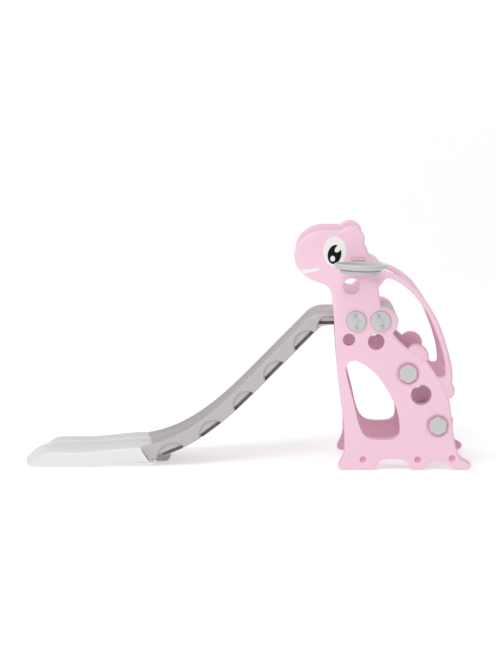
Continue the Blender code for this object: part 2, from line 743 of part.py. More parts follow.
def build_chute():
    """The grey double-wall chute, swept along its rails, with scooped sides."""
    stations, travelled = chute_stations()
    loops = []
    for i, (point, along, up, height, depth) in enumerate(stations):
        slant = math.tan(math.radians(END_SLANT)) if i == len(stations) - 1 else 0.0
        loop = []
        for y, w in trough_section(CHUTE_WIDTH / 2, height, depth, CHUTE_WALL):
            place = point + up * w + along * (w * slant)
            loop.append((place.x, y, place.y))
        loops.append(loop)
    chute = add_object("slide_chute", loft("slide_chute", loops), "grey")

    lip_top = RAIL_TOP - ENTRY_FLOOR_DIP
    lip = slab("lip", rounded_box(PLATFORM_FRONT - 0.010, PLATFORM_FRONT + LIP_LENGTH,
                                  lip_top - LIP_THICK, lip_top - 0.0002, 0.004), [],
               -CHUTE_WIDTH / 2 + CHUTE_WALL, CHUTE_WIDTH / 2 - CHUTE_WALL, 0)
    boolean(chute, add_object("chute_lip", lip), "UNION")

    for side_name, side in SIDES.items():
        for k in range(POCKET_COUNT):
            cut_pocket(chute, side_name, side, k, stations, travelled)
    return chute


def pocket_centres(travelled):
    """Evenly spaced along the chute, the first just past the panels."""
    last = travelled[-1] - POCKET_LAST
    pitch = (last - POCKET_FIRST) / (POCKET_COUNT - 1)
    return [POCKET_FIRST + pitch * k for k in range(POCKET_COUNT)]


def half_round(half_length, tall, low, count=14):
    """A pocket's outline, open below: between a half-ellipse and a triangle."""
    power = 2 / POCKET_POWER
    shape = [(math.copysign(abs(c) ** power, c) * half_length, tall * abs(s) ** power)
             for c, s in arc((0, 0), 1.0, 0, 180, count)]
    return [(half_length, low)] + shape + [(-half_length, low)]


def cut_pocket(chute, side_name, side, k, stations, travelled):
    """A pocket in the wall's lower half, undercut along its foot."""
    centre = pocket_centres(travelled)[k]
    i = max(j for j, s in enumerate(travelled) if s <= centre)
    point, along, up, height, _ = stations[i]
    place = point + along * (centre - travelled[i])
    origin = place - up * (height + 0.0005)
    face = CHUTE_WIDTH / 2
    length = LAST_POCKET_LENGTH if k == POCKET_COUNT - 1 else POCKET_LENGTH
    shape = half_round(length / 2, min(POCKET_HEIGHT, height - 0.012), -0.012)

    def placed(u, v, y):
        at = origin + along * u + up * v
        return (at.x, side * y, at.y)

    back = face - POCKET_DEPTH
    loops = [[placed(u, v, face + CUT_PAST) for u, v in shape],
             [placed(u * 0.97, v * 0.97, back) for u, v in shape]]
    name = f"chute_pocket_{side_name}_{k}"
    boolean(chute, add_object(name, loft(name, loops)), "DIFFERENCE")

    foot = [(u * 0.95, min(v * 0.95, SCOOP_RISE)) for u, v in shape[1:-1]]
    foot = [(foot[0][0], -0.012)] + foot + [(foot[-1][0], -0.012)]
    slope = SCOOP_RISE / (SCOOP_DEPTH - POCKET_DEPTH)
    loops = [[placed(u, v - slope * (back - y), y) for u, v in foot]
             for y in (back + 0.002, face - SCOOP_DEPTH)]
    name = f"chute_scoop_{side_name}_{k}"
    boolean(chute, add_object(name, loft(name, loops)), "DIFFERENCE")


def extension_station(run):
    """The extension's section at a distance from the chute's end."""
    near_chute = ease(1 - run / RISE_RUN)
    rail = EXTENSION_HEIGHT + RAIL_RISE * near_chute
    trough = EXTENSION_FLOOR + FLOOR_RISE * near_chute
    return UNDER_RISE * near_chute, rail, rail - trough, EXTENSION_HALF_WIDTH


def nose_station(width_share, height_share, lift):
    """The section of the nose from its row of the table."""
    rail = EXTENSION_HEIGHT * height_share
    depth = max(0.0, rail - EXTENSION_FLOOR)
    return lift, rail, depth, EXTENSION_HALF_WIDTH * width_share


def build_extension():
    """The white run-out: a shallow trough that ends in a rounded nose."""
    tail = EXTENSION_LENGTH - NOSE_STATIONS[0][0]
    stations = [(tail * i / 8, extension_station(tail * i / 8)) for i in range(8)]
    for from_tip, width_share, height_share, lift in NOSE_STATIONS:
        stations.append((EXTENSION_LENGTH - from_tip,
                         nose_station(width_share, height_share, lift)))
    loops = []
    fall = math.atan2(KNEE_HEIGHT - RUNOUT_END_HEIGHT, RUNOUT_LENGTH)
    lean = math.tan(math.radians(END_SLANT) + fall)
    for run, (under, rail, depth, half_width) in stations:
        x = -CHUTE_REACH - JOINT_GAP - run
        loop = []
        for y, w in trough_section(half_width, rail - under, depth, EXTENSION_WALL,
                                   corner=EXTENSION_CORNER):
            back = (RUNOUT_END_HEIGHT - rail - w) * lean if run == 0 else 0.0
            loop.append((x + back, y, rail + w))
        loops.append(loop)
    extension = add_object("chute_extension", loft("chute_extension", loops), "white")

    end_x = -CHUTE_REACH
    slot_top = chute_end_underside() - 0.003
    tongue_box = rounded_box(end_x - 0.020, end_x + FOOT_START - JOINT_GAP,
                             slot_top - TONGUE_THICK, slot_top, 0.004)
    tongue = slab("tongue", tongue_box, [], -TONGUE_HALF_WIDTH, TONGUE_HALF_WIDTH, 0)
    boolean(extension, add_object("extension_tongue", tongue), "UNION")
    return extension


def chute_end_underside():
    """Lowest height of the grey chute, at the foot of its slanted end."""
    point, along, up, height, _ = chute_stations()[0][-1]
    slant = math.tan(math.radians(END_SLANT))
    return (point - up * height - along * (height * slant)).y


def build_foot():
    """A block under the chute that carries its lower end on the floor."""
    stations, _ = chute_stations()
    x0 = -CHUTE_REACH + FOOT_START
    x1 = x0 + FOOT_LENGTH
    under = []
    for point, _, up, height, _ in stations:
        below = point - up * height
        under.append((below.x, below.y))
    under.sort()

    def height_at(x):
        for (xa, za), (xb, zb) in zip(under, under[1:]):
            if xa <= x <= xb:
                return za + (zb - za) * (x - xa) / (xb - xa)
        return under[0][1]

    count = 5
    top = []
    for i in range(count + 1):
        x = x1 + (x0 - x1) * i / count
        top.append((x, height_at(x) - REST_GAP * 4))
    bottom = arc((x0 + 0.008, 0.008), 0.008, 180, 270, 3)
    bottom += arc((x1 - 0.020, 0.020), 0.020, 270, 360, 4)
    outline = joined(top, bottom)
    foot = slab("chute_foot", outline, [], -FOOT_HALF_WIDTH, FOOT_HALF_WIDTH, 0)
    return add_object("chute_foot", foot, "grey")


# ---- hoop ---------------------------------------------------------------------------------

def ring(name, outer, wall, low, high, rounding, sides=30):
    """A turned ring with rounded edges, about its own Z axis."""
    inner = outer - wall
    r = rounding
    profile = [(outer - r, low), (outer, low + r), (outer, high - r), (outer - r, high),
               (inner + r, high), (inner, high - r), (inner, low + r), (inner + r, low)]
    vertices = []
    faces = []
    count = len(profile)
    for i in range(sides):
        a = 2 * math.pi * i / sides
        vertices += [(radius * math.cos(a), radius * math.sin(a), z) for radius, z in profile]
        for j in range(count):
            k = (j + 1) % count
            n = (i + 1) % sides
            faces.append((i * count + j, i * count + k, n * count + k, n * count + j))
    return mesh_from(name, vertices, faces)


def scalloped_skirt():
    """A flange in the rim's bore and a skirt whose lower edge hangs in lobes."""
    sides = LOBE_COUNT * 6
    bore = HOOP_RADIUS - HOOP_WALL
    low_flange = 0.003 - HOOP_BAND / 2
    top = low_flange + SKIRT_WALL
    vertices = []
    faces = []
    for i in range(sides):
        a = 2 * math.pi * i / sides - math.pi / 2
        lobe = 0.5 + 0.5 * math.cos(LOBE_COUNT * (a + math.pi / 2))
        low = -HOOP_BAND / 2 - SKIRT_DROP - LOBE_DROP * lobe
        profile = [(SKIRT_RADIUS, low), (SKIRT_RADIUS, low_flange), (bore + 0.003, low_flange),
                   (bore + 0.003, top), (SKIRT_RADIUS - SKIRT_WALL, top),
                   (SKIRT_RADIUS - SKIRT_WALL, low)]
        vertices += [(radius * math.cos(a), radius * math.sin(a), z) for radius, z in profile]
        count = len(profile)
        n = (i + 1) % sides
        for j in range(count):
            k = (j + 1) % count
            faces.append((i * count + j, i * count + k, n * count + k, n * count + j))
    return mesh_from("hoop_skirt", vertices, faces)


def build_hoop(panel):
    """A rim with a skirt and net hooks, and a spigot for the panel's socket."""
    x = HOOP_X
    z = PLATFORM_TOP + HOOP_ABOVE_PLATFORM
    centre_y = -(OUTER_FACE + HOOP_STANDOFF + HOOP_RADIUS)
    tilt = math.radians(HOOP_TILT)
    hoop = add_object("ball_hoop", ring("ball_hoop", HOOP_RADIUS, HOOP_WALL,
                                        -HOOP_BAND / 2, HOOP_BAND / 2, 0.005), "light_grey")
    hoop.location = (x, centre_y, z)
    hoop.rotation_euler = (0, tilt, 0)
    skirt = add_object("hoop_skirt", scalloped_skirt())
    skirt.location = hoop.location
    skirt.rotation_euler = hoop.rotation_euler
    boolean(hoop, skirt, "UNION")

    half = SOCKET_WIDTH / 2
    socket_low = z - SOCKET_HEIGHT / 2
    surround = slab("surround",
                    rounded_box(SOCKET_X - half - SURROUND_CLEAR,
                                SOCKET_X + half + SURROUND_CLEAR,
                                socket_low - SURROUND_CLEAR,
                                socket_low - SURROUND_CLEAR + SURROUND_HEIGHT, 0.008), [],
                    -OUTER_FACE - CUT_PAST, -OUTER_FACE + SURROUND_DEPTH, 0)
    boolean(panel, add_object("hoop_surround", surround), "DIFFERENCE")
    socket = slab("socket", rounded_box(SOCKET_X - half, SOCKET_X + half, socket_low,
                                        socket_low + SOCKET_HEIGHT, 0.005), [],
                  -OUTER_FACE - CUT_PAST, -OUTER_FACE + SOCKET_DEPTH, 0)
    boolean(panel, add_object("hoop_socket", socket), "DIFFERENCE")
    spigot = slab("spigot", rounded_box(SOCKET_X - half + SPIGOT_GAP,
                                        SOCKET_X + half - SPIGOT_GAP,
                                        socket_low + SPIGOT_GAP,
                                        socket_low + SOCKET_HEIGHT - SPIGOT_GAP, 0.004), [],
                  -OUTER_FACE + SOCKET_DEPTH - SPIGOT_GAP,
                  -OUTER_FACE - HOOP_STANDOFF - HOOP_WALL * 0.6, 0)
    boolean(hoop, add_object("hoop_spigot", spigot), "UNION")
    return hoop


# ---- assembly ---------------------------------------------------------------------------------

def cut_chute_ledge(platform):
    """A ledge in the platform's front edge, for the chute's lip."""
    top = PLATFORM_TOP + CUT_PAST
    lip_low = RAIL_TOP - ENTRY_FLOOR_DIP - LIP_THICK
    ledge = slab("ledge", [(PLATFORM_FRONT - CUT_PAST, lip_low - REST_GAP),
                           (PLATFORM_FRONT + LIP_LENGTH + REST_GAP, lip_low - REST_GAP),
                           (PLATFORM_FRONT + LIP_LENGTH + REST_GAP, top),
                           (PLATFORM_FRONT - CUT_PAST, top)], [],
                 -(CHUTE_WIDTH / 2 - CHUTE_WALL + SEAT_GAP),
                 CHUTE_WIDTH / 2 - CHUTE_WALL + SEAT_GAP, 0)
    boolean(platform, add_object("platform_ledge", ledge), "DIFFERENCE")


def stand_on_origin():
    """Move everything so that the origin is on the floor under the middle."""
    bpy.context.view_layer.update()
    graph = bpy.context.evaluated_depsgraph_get()
    low = Vector((math.inf,) * 3)
    high = Vector((-math.inf,) * 3)
    for part in bpy.data.objects:
        if part.hide_render:
            continue
        shape = part.evaluated_get(graph)
        for vertex in shape.data.vertices:
            place = shape.matrix_world @ vertex.co
            low = Vector(min(pair) for pair in zip(low, place))
            high = Vector(max(pair) for pair in zip(high, place))
    shift = Vector(((low.x + high.x) / 2, (low.y + high.y) / 2, low.z))
    for part in bpy.data.objects:
        part.location -= shift


def main():
    for old in list(bpy.data.objects):
        bpy.data.objects.remove(old, do_unlink=True)
    panels = {}
    for side_name in SIDES:
        panels[side_name] = build_panel(side_name)
        build_mouth(side_name, panels[side_name])
        build_eye(side_name)
        for kind, x, z in fixing_places():
            if kind.endswith("knob"):
                turn = GRIP_ANGLES[0] if kind == "front_knob" else GRIP_ANGLES[1]
                build_knob(side_name, kind, x, z, turn)
            else:
                build_cap(side_name, kind, x, z)
    boards = {name: build_board(name, box) for name, box in board_boxes().items()}
    cut_chute_ledge(boards["platform"])
    build_chute()
    build_extension()
    build_foot()
    build_hoop(panels["left"])
    stand_on_origin()


main()
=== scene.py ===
# %% [markdown]
# # A toddler's slide in blow-moulded plastic
# The slide is a kit of hollow polyethylene mouldings: two animal-shaped side
# panels, two steps, a platform, a long chute with a white run-out, four hand
# knobs, four hexagonal caps and a clip-in ball hoop. The measured solids come
# in as a fixed frame, and every visible piece is made to sit exactly on it.

# %% Load the frame and keep its box
import json
import math

import bmesh
import bpy
from mathutils import Matrix, Vector
from mathutils.geometry import tessellate_polygon


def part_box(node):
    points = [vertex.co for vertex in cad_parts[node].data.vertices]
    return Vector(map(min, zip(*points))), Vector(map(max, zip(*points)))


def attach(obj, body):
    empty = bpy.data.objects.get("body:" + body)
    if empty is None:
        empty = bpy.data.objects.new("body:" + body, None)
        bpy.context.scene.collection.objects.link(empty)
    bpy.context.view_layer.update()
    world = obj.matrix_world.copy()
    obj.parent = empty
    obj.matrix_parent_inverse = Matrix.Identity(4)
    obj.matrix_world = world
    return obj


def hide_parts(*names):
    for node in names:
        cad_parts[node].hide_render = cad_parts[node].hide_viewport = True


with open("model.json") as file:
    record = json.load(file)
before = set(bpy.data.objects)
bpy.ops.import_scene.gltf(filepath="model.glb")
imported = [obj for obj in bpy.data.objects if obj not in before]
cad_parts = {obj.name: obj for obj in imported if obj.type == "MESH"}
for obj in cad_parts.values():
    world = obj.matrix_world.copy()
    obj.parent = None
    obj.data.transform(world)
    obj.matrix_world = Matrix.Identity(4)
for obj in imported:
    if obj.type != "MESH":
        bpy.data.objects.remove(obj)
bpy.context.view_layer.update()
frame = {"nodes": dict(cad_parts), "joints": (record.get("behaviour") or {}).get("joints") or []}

# %% [markdown]
# ## Reading places from the frame
# The drawing of the slide has its zero at the front foot of the panels. The
# frame has its zero under the middle of the whole box. The front knob of the
# left panel gives the shift between the two.

# %% The shift from drawing to frame
DRAWN_KNOB = Vector((0.058, -0.230, 0.557))
joints = {joint["name"]: joint for joint in frame["joints"]}
SHIFT = Vector(joints["left_front_knob_turn"]["pos_m"]) - DRAWN_KNOB
OUTER_FACE = 0.230         # the middle of the slide to a panel's outer face
PANEL_THICK = 0.050
HALF_GAP = OUTER_FACE - PANEL_THICK
SIDES = {"left": -1, "right": 1}
print("drawing to frame", [round(v, 4) for v in SHIFT])

# %% [markdown]
# ## Camera
# A long lens seven metres away keeps the near and far panels almost the same
# size, which is how a product is normally shown from the side. The camera looks
# slightly down and is turned a little towards the chute.

# %% Place the camera
CAMERA_PLACE = Vector((-0.0921, -6.6737, 1.2675)) + SHIFT
CAMERA_YAW = math.radians(2.205)
CAMERA_PITCH = math.radians(6.631)
CAMERA_ROLL = math.radians(-0.3755)
CAMERA_LENS = 95.50


def aim_camera():
    """A camera from its place, yaw towards -X, pitch down and roll."""
    forward = Vector((-math.sin(CAMERA_YAW) * math.cos(CAMERA_PITCH),
                      math.cos(CAMERA_YAW) * math.cos(CAMERA_PITCH), -math.sin(CAMERA_PITCH)))
    level = forward.cross(Vector((0, 0, 1))).normalized()
    above = level.cross(forward)
    right = level * math.cos(CAMERA_ROLL) + above * math.sin(CAMERA_ROLL)
    up = above * math.cos(CAMERA_ROLL) - level * math.sin(CAMERA_ROLL)
    turn = Matrix((right, up, -forward)).transposed().to_4x4()
    data = bpy.data.cameras.new("side_camera")
    data.lens = CAMERA_LENS
    camera = bpy.data.objects.new("side_camera", data)
    camera.matrix_world = Matrix.Translation(CAMERA_PLACE) @ turn
    bpy.context.scene.collection.objects.link(camera)
    bpy.context.scene.camera = camera


aim_camera()
bpy.context.scene.view_settings.view_transform = "Standard"

# %% [markdown]
# ## Studio
# White products on white need light from everywhere: a bright even world, one
# broad soft light in front and above, and a pale sweep that curves up behind
# the slide so that no horizon line shows. The sweep glows a little, as a
# backdrop lit by its own lamps does, so its shadows stay faint.

# %% Floor sweep and lights
WORLD_STRENGTH = 0.50
KEY_POWER = 128.0
SWEEP_GLOW = 0.38


def build_sweep():
    """A floor that curves up into a backdrop."""
    near, far, rise, radius = -9.0, 3.0, 9.0, 2.5
    profile = [(near, 0.0), (far, 0.0)]
    for i in range(1, 13):
        a = math.pi / 2 * i / 12
        profile.append((far + radius * math.sin(a), radius * (1 - math.cos(a))))
    profile.append((far + radius, rise))
    vertices = []
    for y, z in profile:
        vertices += [(-rise, y, z), (rise, y, z)]
    faces = [(2 * i, 2 * i + 1, 2 * i + 3, 2 * i + 2) for i in range(len(profile) - 1)]
    mesh = bpy.data.meshes.new("studio_floor")
    mesh.from_pydata(vertices, [], faces)
    mesh.shade_smooth()
    floor = bpy.data.objects.new("studio_floor", mesh)
    bpy.context.scene.collection.objects.link(floor)
    paper = bpy.data.materials.new("studio_paper")
    paper.use_nodes = True
    shader = paper.node_tree.nodes["Principled BSDF"]
    shader.inputs["Base Color"].default_value = (0.82, 0.82, 0.82, 1)
    shader.inputs["Roughness"].default_value = 0.7
    shader.inputs["Specular IOR Level"].default_value = 0.2
    shader.inputs["Emission Color"].default_value = (1, 1, 1, 1)
    shader.inputs["Emission Strength"].default_value = SWEEP_GLOW
    mesh.materials.append(paper)


def soft_light(name, place, target, size, power):
    """A square area light that faces a point."""
    data = bpy.data.lights.new(name, "AREA")
    data.size = size
    data.energy = power
    light = bpy.data.objects.new(name, data)
    light.location = place
    light.rotation_euler = (Vector(target) - Vector(place)).to_track_quat("-Z", "Y").to_euler()
    bpy.context.scene.collection.objects.link(light)


build_sweep()
world = bpy.data.worlds.new("studio_world")
world.use_nodes = True
world.node_tree.nodes["Background"].inputs["Color"].default_value = (1, 1, 1, 1)
world.node_tree.nodes["Background"].inputs["Strength"].default_value = WORLD_STRENGTH
bpy.context.scene.world = world
soft_light("key_light", (-1.3, -3.0, 4.2), (0.0, 0.0, 0.3), 3.0, KEY_POWER)

# %% [markdown]
# ## Moulded plastic
# Blow-moulded polyethylene is never one flat colour. The pigment clouds a
# little, the skin carries the fine grain of a sand-blasted mould and a slow
# waviness from cooling, and hands polish its edges and scuff its faces. Each
# effect is a node group, so every plastic shares the same behaviour.

# %% Node groups for pigment, grain, wear and painted shade


def new_group(name, inputs, outputs):
    """A shader group with named sockets: (name, kind, default)."""
    group = bpy.data.node_groups.new(name, "ShaderNodeTree")
    for socket, kind, default in inputs:
        item = group.interface.new_socket(name=socket, in_out="INPUT", socket_type=kind)
        item.default_value = default
    for socket, kind in outputs:
        group.interface.new_socket(name=socket, in_out="OUTPUT", socket_type=kind)
    start = group.nodes.new("NodeGroupInput")
    end = group.nodes.new("NodeGroupOutput")
    return group, start, end


def noise_in(group, scale, detail, roughness=0.5):
    """Noise over the object's own coordinates, in metres."""
    place = group.nodes.new("ShaderNodeTexCoord")
    noise = group.nodes.new("ShaderNodeTexNoise")
    noise.inputs["Scale"].default_value = scale
    noise.inputs["Detail"].default_value = detail
    noise.inputs["Roughness"].default_value = roughness
    group.links.new(place.outputs["Object"], noise.inputs["Vector"])
    return noise


def maths_in(group, operation, a, b):
    """One sum: each side is a number or a socket."""
    node = group.nodes.new("ShaderNodeMath")
    node.operation = operation
    for socket, value in zip(node.inputs, (a, b)):
        if isinstance(value, (int, float)):
            socket.default_value = value
        else:
            group.links.new(value, socket)
    return node.outputs[0]


def mixed_in(group, factor, a, b):
    """A colour mix: each part is a colour or a socket."""
    node = group.nodes.new("ShaderNodeMix")
    node.data_type = "RGBA"
    for socket, value in ((node.inputs[0], factor), (node.inputs[6], a), (node.inputs[7], b)):
        if isinstance(value, (int, float, tuple)):
            socket.default_value = value
        else:
            group.links.new(value, socket)
    return node.outputs[2]


def pigment_group():
    """Slow clouds of a second tint, and tiny specks of the first."""
    colour = "NodeSocketColor"
    group, start, end = new_group(
        "pigment", [("Colour", colour, (1, 1, 1, 1)), ("Cloud Colour", colour, (1, 1, 1, 1)),
                    ("Cloud Amount", "NodeSocketFloat", 0.5)], [("Colour", colour)])
    clouds = noise_in(group, 5.5, 3.0, 0.55)
    specks = noise_in(group, 900.0, 1.0)
    level = maths_in(group, "MULTIPLY_ADD", clouds.outputs["Fac"], 2.2)
    level.node.inputs[2].default_value = -0.6
    level.node.use_clamp = True
    speckled = maths_in(group, "MULTIPLY", specks.outputs["Fac"], 0.35)
    amount = maths_in(group, "ADD", level, speckled)
    amount = maths_in(group, "MULTIPLY", amount, start.outputs["Cloud Amount"])
    amount.node.use_clamp = True
    out = mixed_in(group, amount, start.outputs["Colour"], start.outputs["Cloud Colour"])
    group.links.new(out, end.inputs["Colour"])
    return group


def grain_group():
    """The height of the skin: fine mould grain and slow cooling waves."""
    group, start, end = new_group(
        "mould_grain", [("Grain Depth", "NodeSocketFloat", 1.0),
                        ("Wave Depth", "NodeSocketFloat", 1.0)],
        [("Height", "NodeSocketFloat")])
    grain = noise_in(group, 1300.0, 2.0, 0.6)
    waves = noise_in(group, 16.0, 1.5)
    fine = maths_in(group, "MULTIPLY", grain.outputs["Fac"], start.outputs["Grain Depth"])
    slow = maths_in(group, "MULTIPLY", waves.outputs["Fac"], start.outputs["Wave Depth"])
    group.links.new(maths_in(group, "ADD", fine, slow), end.inputs["Height"])
    return group


def wear_group():
    """Polished, paler edges and faint scuffs on the open faces."""
    colour = "NodeSocketColor"
    number = "NodeSocketFloat"
    group, start, end = new_group(
        "handling_wear", [("Colour", colour, (1, 1, 1, 1)), ("Edge Colour", colour, (1, 1, 1, 1)),
                          ("Roughness", number, 0.4), ("Edge Amount", number, 0.5)],
        [("Colour", colour), ("Roughness", number)])
    shape = group.nodes.new("ShaderNodeNewGeometry")
    edge = group.nodes.new("ShaderNodeMapRange")
    edge.inputs["From Min"].default_value = 0.505
    edge.inputs["From Max"].default_value = 0.62
    group.links.new(shape.outputs["Pointiness"], edge.inputs["Value"])
    patches = noise_in(group, 38.0, 3.0, 0.6)
    broken = maths_in(group, "MULTIPLY", edge.outputs["Result"], patches.outputs["Fac"])
    rub = maths_in(group, "MULTIPLY", broken, start.outputs["Edge Amount"])
    rub.node.use_clamp = True
    out = mixed_in(group, rub, start.outputs["Colour"], start.outputs["Edge Colour"])
    group.links.new(out, end.inputs["Colour"])
    scuffs = noise_in(group, 70.0, 4.0, 0.7)
    spread = maths_in(group, "MULTIPLY_ADD", scuffs.outputs["Fac"], 0.16)
    spread.node.inputs[2].default_value = -0.08
    rough = maths_in(group, "ADD", start.outputs["Roughness"], spread)
    polished = maths_in(group, "MULTIPLY", rub, -0.12)
    group.links.new(maths_in(group, "ADD", rough, polished), end.inputs["Roughness"])
    return group


# Painted shade: these set where the deeper pink that stands for shade comes in.
SHADE_FADE = 0.005          # how far behind the face the tint takes to come in
SHADE_OFFSET = -0.4         # as a share of that
SHADE_FADE_UP = 0.06        # the height over which it fades out at the top


def painted_shade_group():
    """Painted shade: a deeper pink on the walls behind a face, below a given height."""
    colour = "NodeSocketColor"
    number = "NodeSocketFloat"
    group, start, end = new_group(
        "painted_wall_shade", [("Colour", colour, (1, 1, 1, 1)), ("Shade Colour", colour, (1, 1, 1, 1)),
                      ("Face", number, 0.23), ("Height", number, 0.6)], [("Colour", colour)])
    place = group.nodes.new("ShaderNodeTexCoord")
    split = group.nodes.new("ShaderNodeSeparateXYZ")
    group.links.new(place.outputs["Object"], split.inputs[0])
    away = maths_in(group, "ABSOLUTE", split.outputs["Y"], 0.0)
    behind = maths_in(group, "SUBTRACT", start.outputs["Face"], away)
    behind = maths_in(group, "MULTIPLY_ADD", behind, 1 / SHADE_FADE)
    behind.node.inputs[2].default_value = SHADE_OFFSET
    behind.node.use_clamp = True
    below = maths_in(group, "SUBTRACT", start.outputs["Height"], split.outputs["Z"])
    below = maths_in(group, "MULTIPLY", below, 1 / SHADE_FADE_UP)
    below.node.use_clamp = True
    # the mask of the painted shade: behind the outer face and below the given height
    amount = maths_in(group, "MULTIPLY", behind, below)
    out = mixed_in(group, amount, start.outputs["Colour"], start.outputs["Shade Colour"])
    group.links.new(out, end.inputs["Colour"])
    return group


PIGMENT = pigment_group()
PAINTED_SHADE = painted_shade_group()
GRAIN = grain_group()
WEAR = wear_group()
print("groups", [g.name for g in bpy.data.node_groups])

# %% [markdown]
# ## The palette
# The pink of the panels, the mid grey of chute and boards, the pale grey of
# the small fittings and the milky white of the run-out all come from the same
# recipe, with their own tint, grain and gloss. The eye and pupil are printed
# film with a finer grain: the eye film a little glossier, the pupil matte.

# %% Make the plastics


def plastic(name, colour, cloud, rough, grain=0.00012, wave=0.0006, edge=0.35, cloudy=0.5,
            coat=0.0, depth=0.0,
            shine=0.5):
    """A moulded plastic from its tint, its clouding, its gloss and its grain."""
    material = bpy.data.materials.new(name)
    material.use_nodes = True
    tree = material.node_tree
    shader = tree.nodes["Principled BSDF"]
    pigment = tree.nodes.new("ShaderNodeGroup")
    pigment.node_tree = PIGMENT
    pigment.inputs["Colour"].default_value = (*colour, 1)
    pigment.inputs["Cloud Colour"].default_value = (*cloud, 1)
    pigment.inputs["Cloud Amount"].default_value = cloudy
    wear = tree.nodes.new("ShaderNodeGroup")
    wear.node_tree = WEAR
    wear.inputs["Edge Colour"].default_value = (*[min(1.0, c * 1.12 + 0.03) for c in colour], 1)
    wear.inputs["Roughness"].default_value = rough
    wear.inputs["Edge Amount"].default_value = edge
    skin = tree.nodes.new("ShaderNodeGroup")
    skin.node_tree = GRAIN
    skin.inputs["Grain Depth"].default_value = grain
    skin.inputs["Wave Depth"].default_value = wave
    bump = tree.nodes.new("ShaderNodeBump")
    bump.inputs["Strength"].default_value = 1.0
    bump.inputs["Distance"].default_value = 1.0
    tree.links.new(pigment.outputs["Colour"], wear.inputs["Colour"])
    tree.links.new(wear.outputs["Colour"], shader.inputs["Base Color"])
    tree.links.new(wear.outputs["Roughness"], shader.inputs["Roughness"])
    tree.links.new(skin.outputs["Height"], bump.inputs["Height"])
    tree.links.new(bump.outputs["Normal"], shader.inputs["Normal"])
    shader.inputs["IOR"].default_value = 1.5
    shader.inputs["Specular IOR Level"].default_value = shine
    shader.inputs["Coat Weight"].default_value = coat
    shader.inputs["Coat Roughness"].default_value = 0.2
    shader.inputs["Subsurface Weight"].default_value = depth
    shader.inputs["Subsurface Scale"].default_value = 0.008
    return material


PLASTICS = {
    "pink_plastic": plastic("pink_plastic", (0.860, 0.560, 0.690), (0.890, 0.610, 0.735), 0.42),
    "grey_plastic": plastic("grey_plastic", (0.480, 0.445, 0.456), (0.530, 0.495, 0.505), 0.44),
    "light_grey_plastic": plastic("light_grey_plastic", (0.560, 0.560, 0.555),
                                  (0.600, 0.600, 0.595), 0.36, wave=0.0003),
    "white_plastic": plastic("white_plastic", (0.760, 0.750, 0.755), (0.790, 0.785, 0.785), 0.36,
                             depth=0.25),
    "sticker_white": plastic("sticker_white", (0.84, 0.81, 0.81), (0.87, 0.845, 0.845), 0.30,
                             grain=0.00002, wave=0.0002, edge=0.1, coat=0.2),
    "sticker_black": plastic("sticker_black", (0.003, 0.003, 0.003), (0.006, 0.005, 0.006), 0.50,
                             grain=0.00002, wave=0.0001, edge=0.05, shine=0.15),
    "mouth_white": plastic("mouth_white", (0.84, 0.82, 0.82), (0.87, 0.85, 0.85), 0.38,
                           wave=0.0002),
}
print("plastics", sorted(PLASTICS))

# %% [markdown]
# The pink is given a deeper tint on the walls of the openings and on the inner
# sides, below the shoulders. It stands in for the saturated shade in there, so
# it is a painted effect and not a second pigment.

# %% Paint shade into the pink behind the faces
# painted shade: this deeper pink stands for the shade on the walls of the openings and the inner
# sides
SHADED_WALL_PINK = (0.760, 0.395, 0.530, 1)
SHADE_TOP = 0.600
pink = PLASTICS["pink_plastic"].node_tree
shader = pink.nodes["Principled BSDF"]
surface = shader.inputs["Base Color"].links[0].from_socket
wall_shade = pink.nodes.new("ShaderNodeGroup")
wall_shade.node_tree = PAINTED_SHADE
wall_shade.inputs["Shade Colour"].default_value = SHADED_WALL_PINK
wall_shade.inputs["Face"].default_value = OUTER_FACE
wall_shade.inputs["Height"].default_value = SHADE_TOP
pink.links.new(surface, wall_shade.inputs["Colour"])
pink.links.new(wall_shade.outputs["Colour"], shader.inputs["Base Color"])

# %% [markdown]
# ## Drawing tools
# The panels are drawn in millimetres, as smooth strokes through a few points,
# and every flat moulding is a plate: an outline with holes, given a thickness
# and softly rounded edges.

# %% Strokes, arcs and plates
STROKE_STEP = 0.005
ROUND_LEVELS = 4
NO_POINT = 1e-5


def smooth_through(points, step=STROKE_STEP):
    """A smooth curve through points of any dimension, sampled every step."""
    points = [Vector(p) for p in points]
    ends = [2 * points[0] - points[1]] + points + [2 * points[-1] - points[-2]]
    curve = []
    for a, b, c, d in zip(ends, ends[1:], ends[2:], ends[3:]):
        count = max(1, round((c - b).length / step))
        for i in range(count):
            t = i / count
            curve.append(0.5 * (2 * b + (c - a) * t
                                + (2 * a - 5 * b + 4 * c - d) * t * t
                                + (3 * b - a - 3 * c + d) * t * t * t))
    curve.append(points[-1])
    return [tuple(p) for p in curve]


def drawn(*points_mm):
    """A smooth stroke of the drawing, in metres."""
    return smooth_through([(x / 1000, z / 1000) for x, z in points_mm])


def arc(centre, radius, start, end, count):
    """Points on a circle from one angle to another, in degrees."""
    angles = [math.radians(start + (end - start) * i / count) for i in range(count + 1)]
    return [(centre[0] + radius * math.cos(a), centre[1] + radius * math.sin(a))
            for a in angles]


def circle(centre, radius, sides=48):
    return arc(centre, radius, 0, 360, sides)[:-1]


def ellipse(centre, half_width, half_height, lean, sides=64):
    """An oval turned by some degrees."""
    turn = math.radians(lean)
    points = []
    for c, s in circle((0, 0), 1.0, sides):
        u, v = half_width * c, half_height * s
        points.append((centre[0] + u * math.cos(turn) - v * math.sin(turn),
                       centre[1] + u * math.sin(turn) + v * math.cos(turn)))
    return points


def rounded_box(x0, x1, z0, z1, radius, count=6):
    """A rectangle with round corners."""
    corners = ((x1 - radius, z0 + radius, -90), (x1 - radius, z1 - radius, 0),
               (x0 + radius, z1 - radius, 90), (x0 + radius, z0 + radius, 180))
    return joined(*[arc((x, z), radius, a, a + 90, count) for x, z, a in corners])


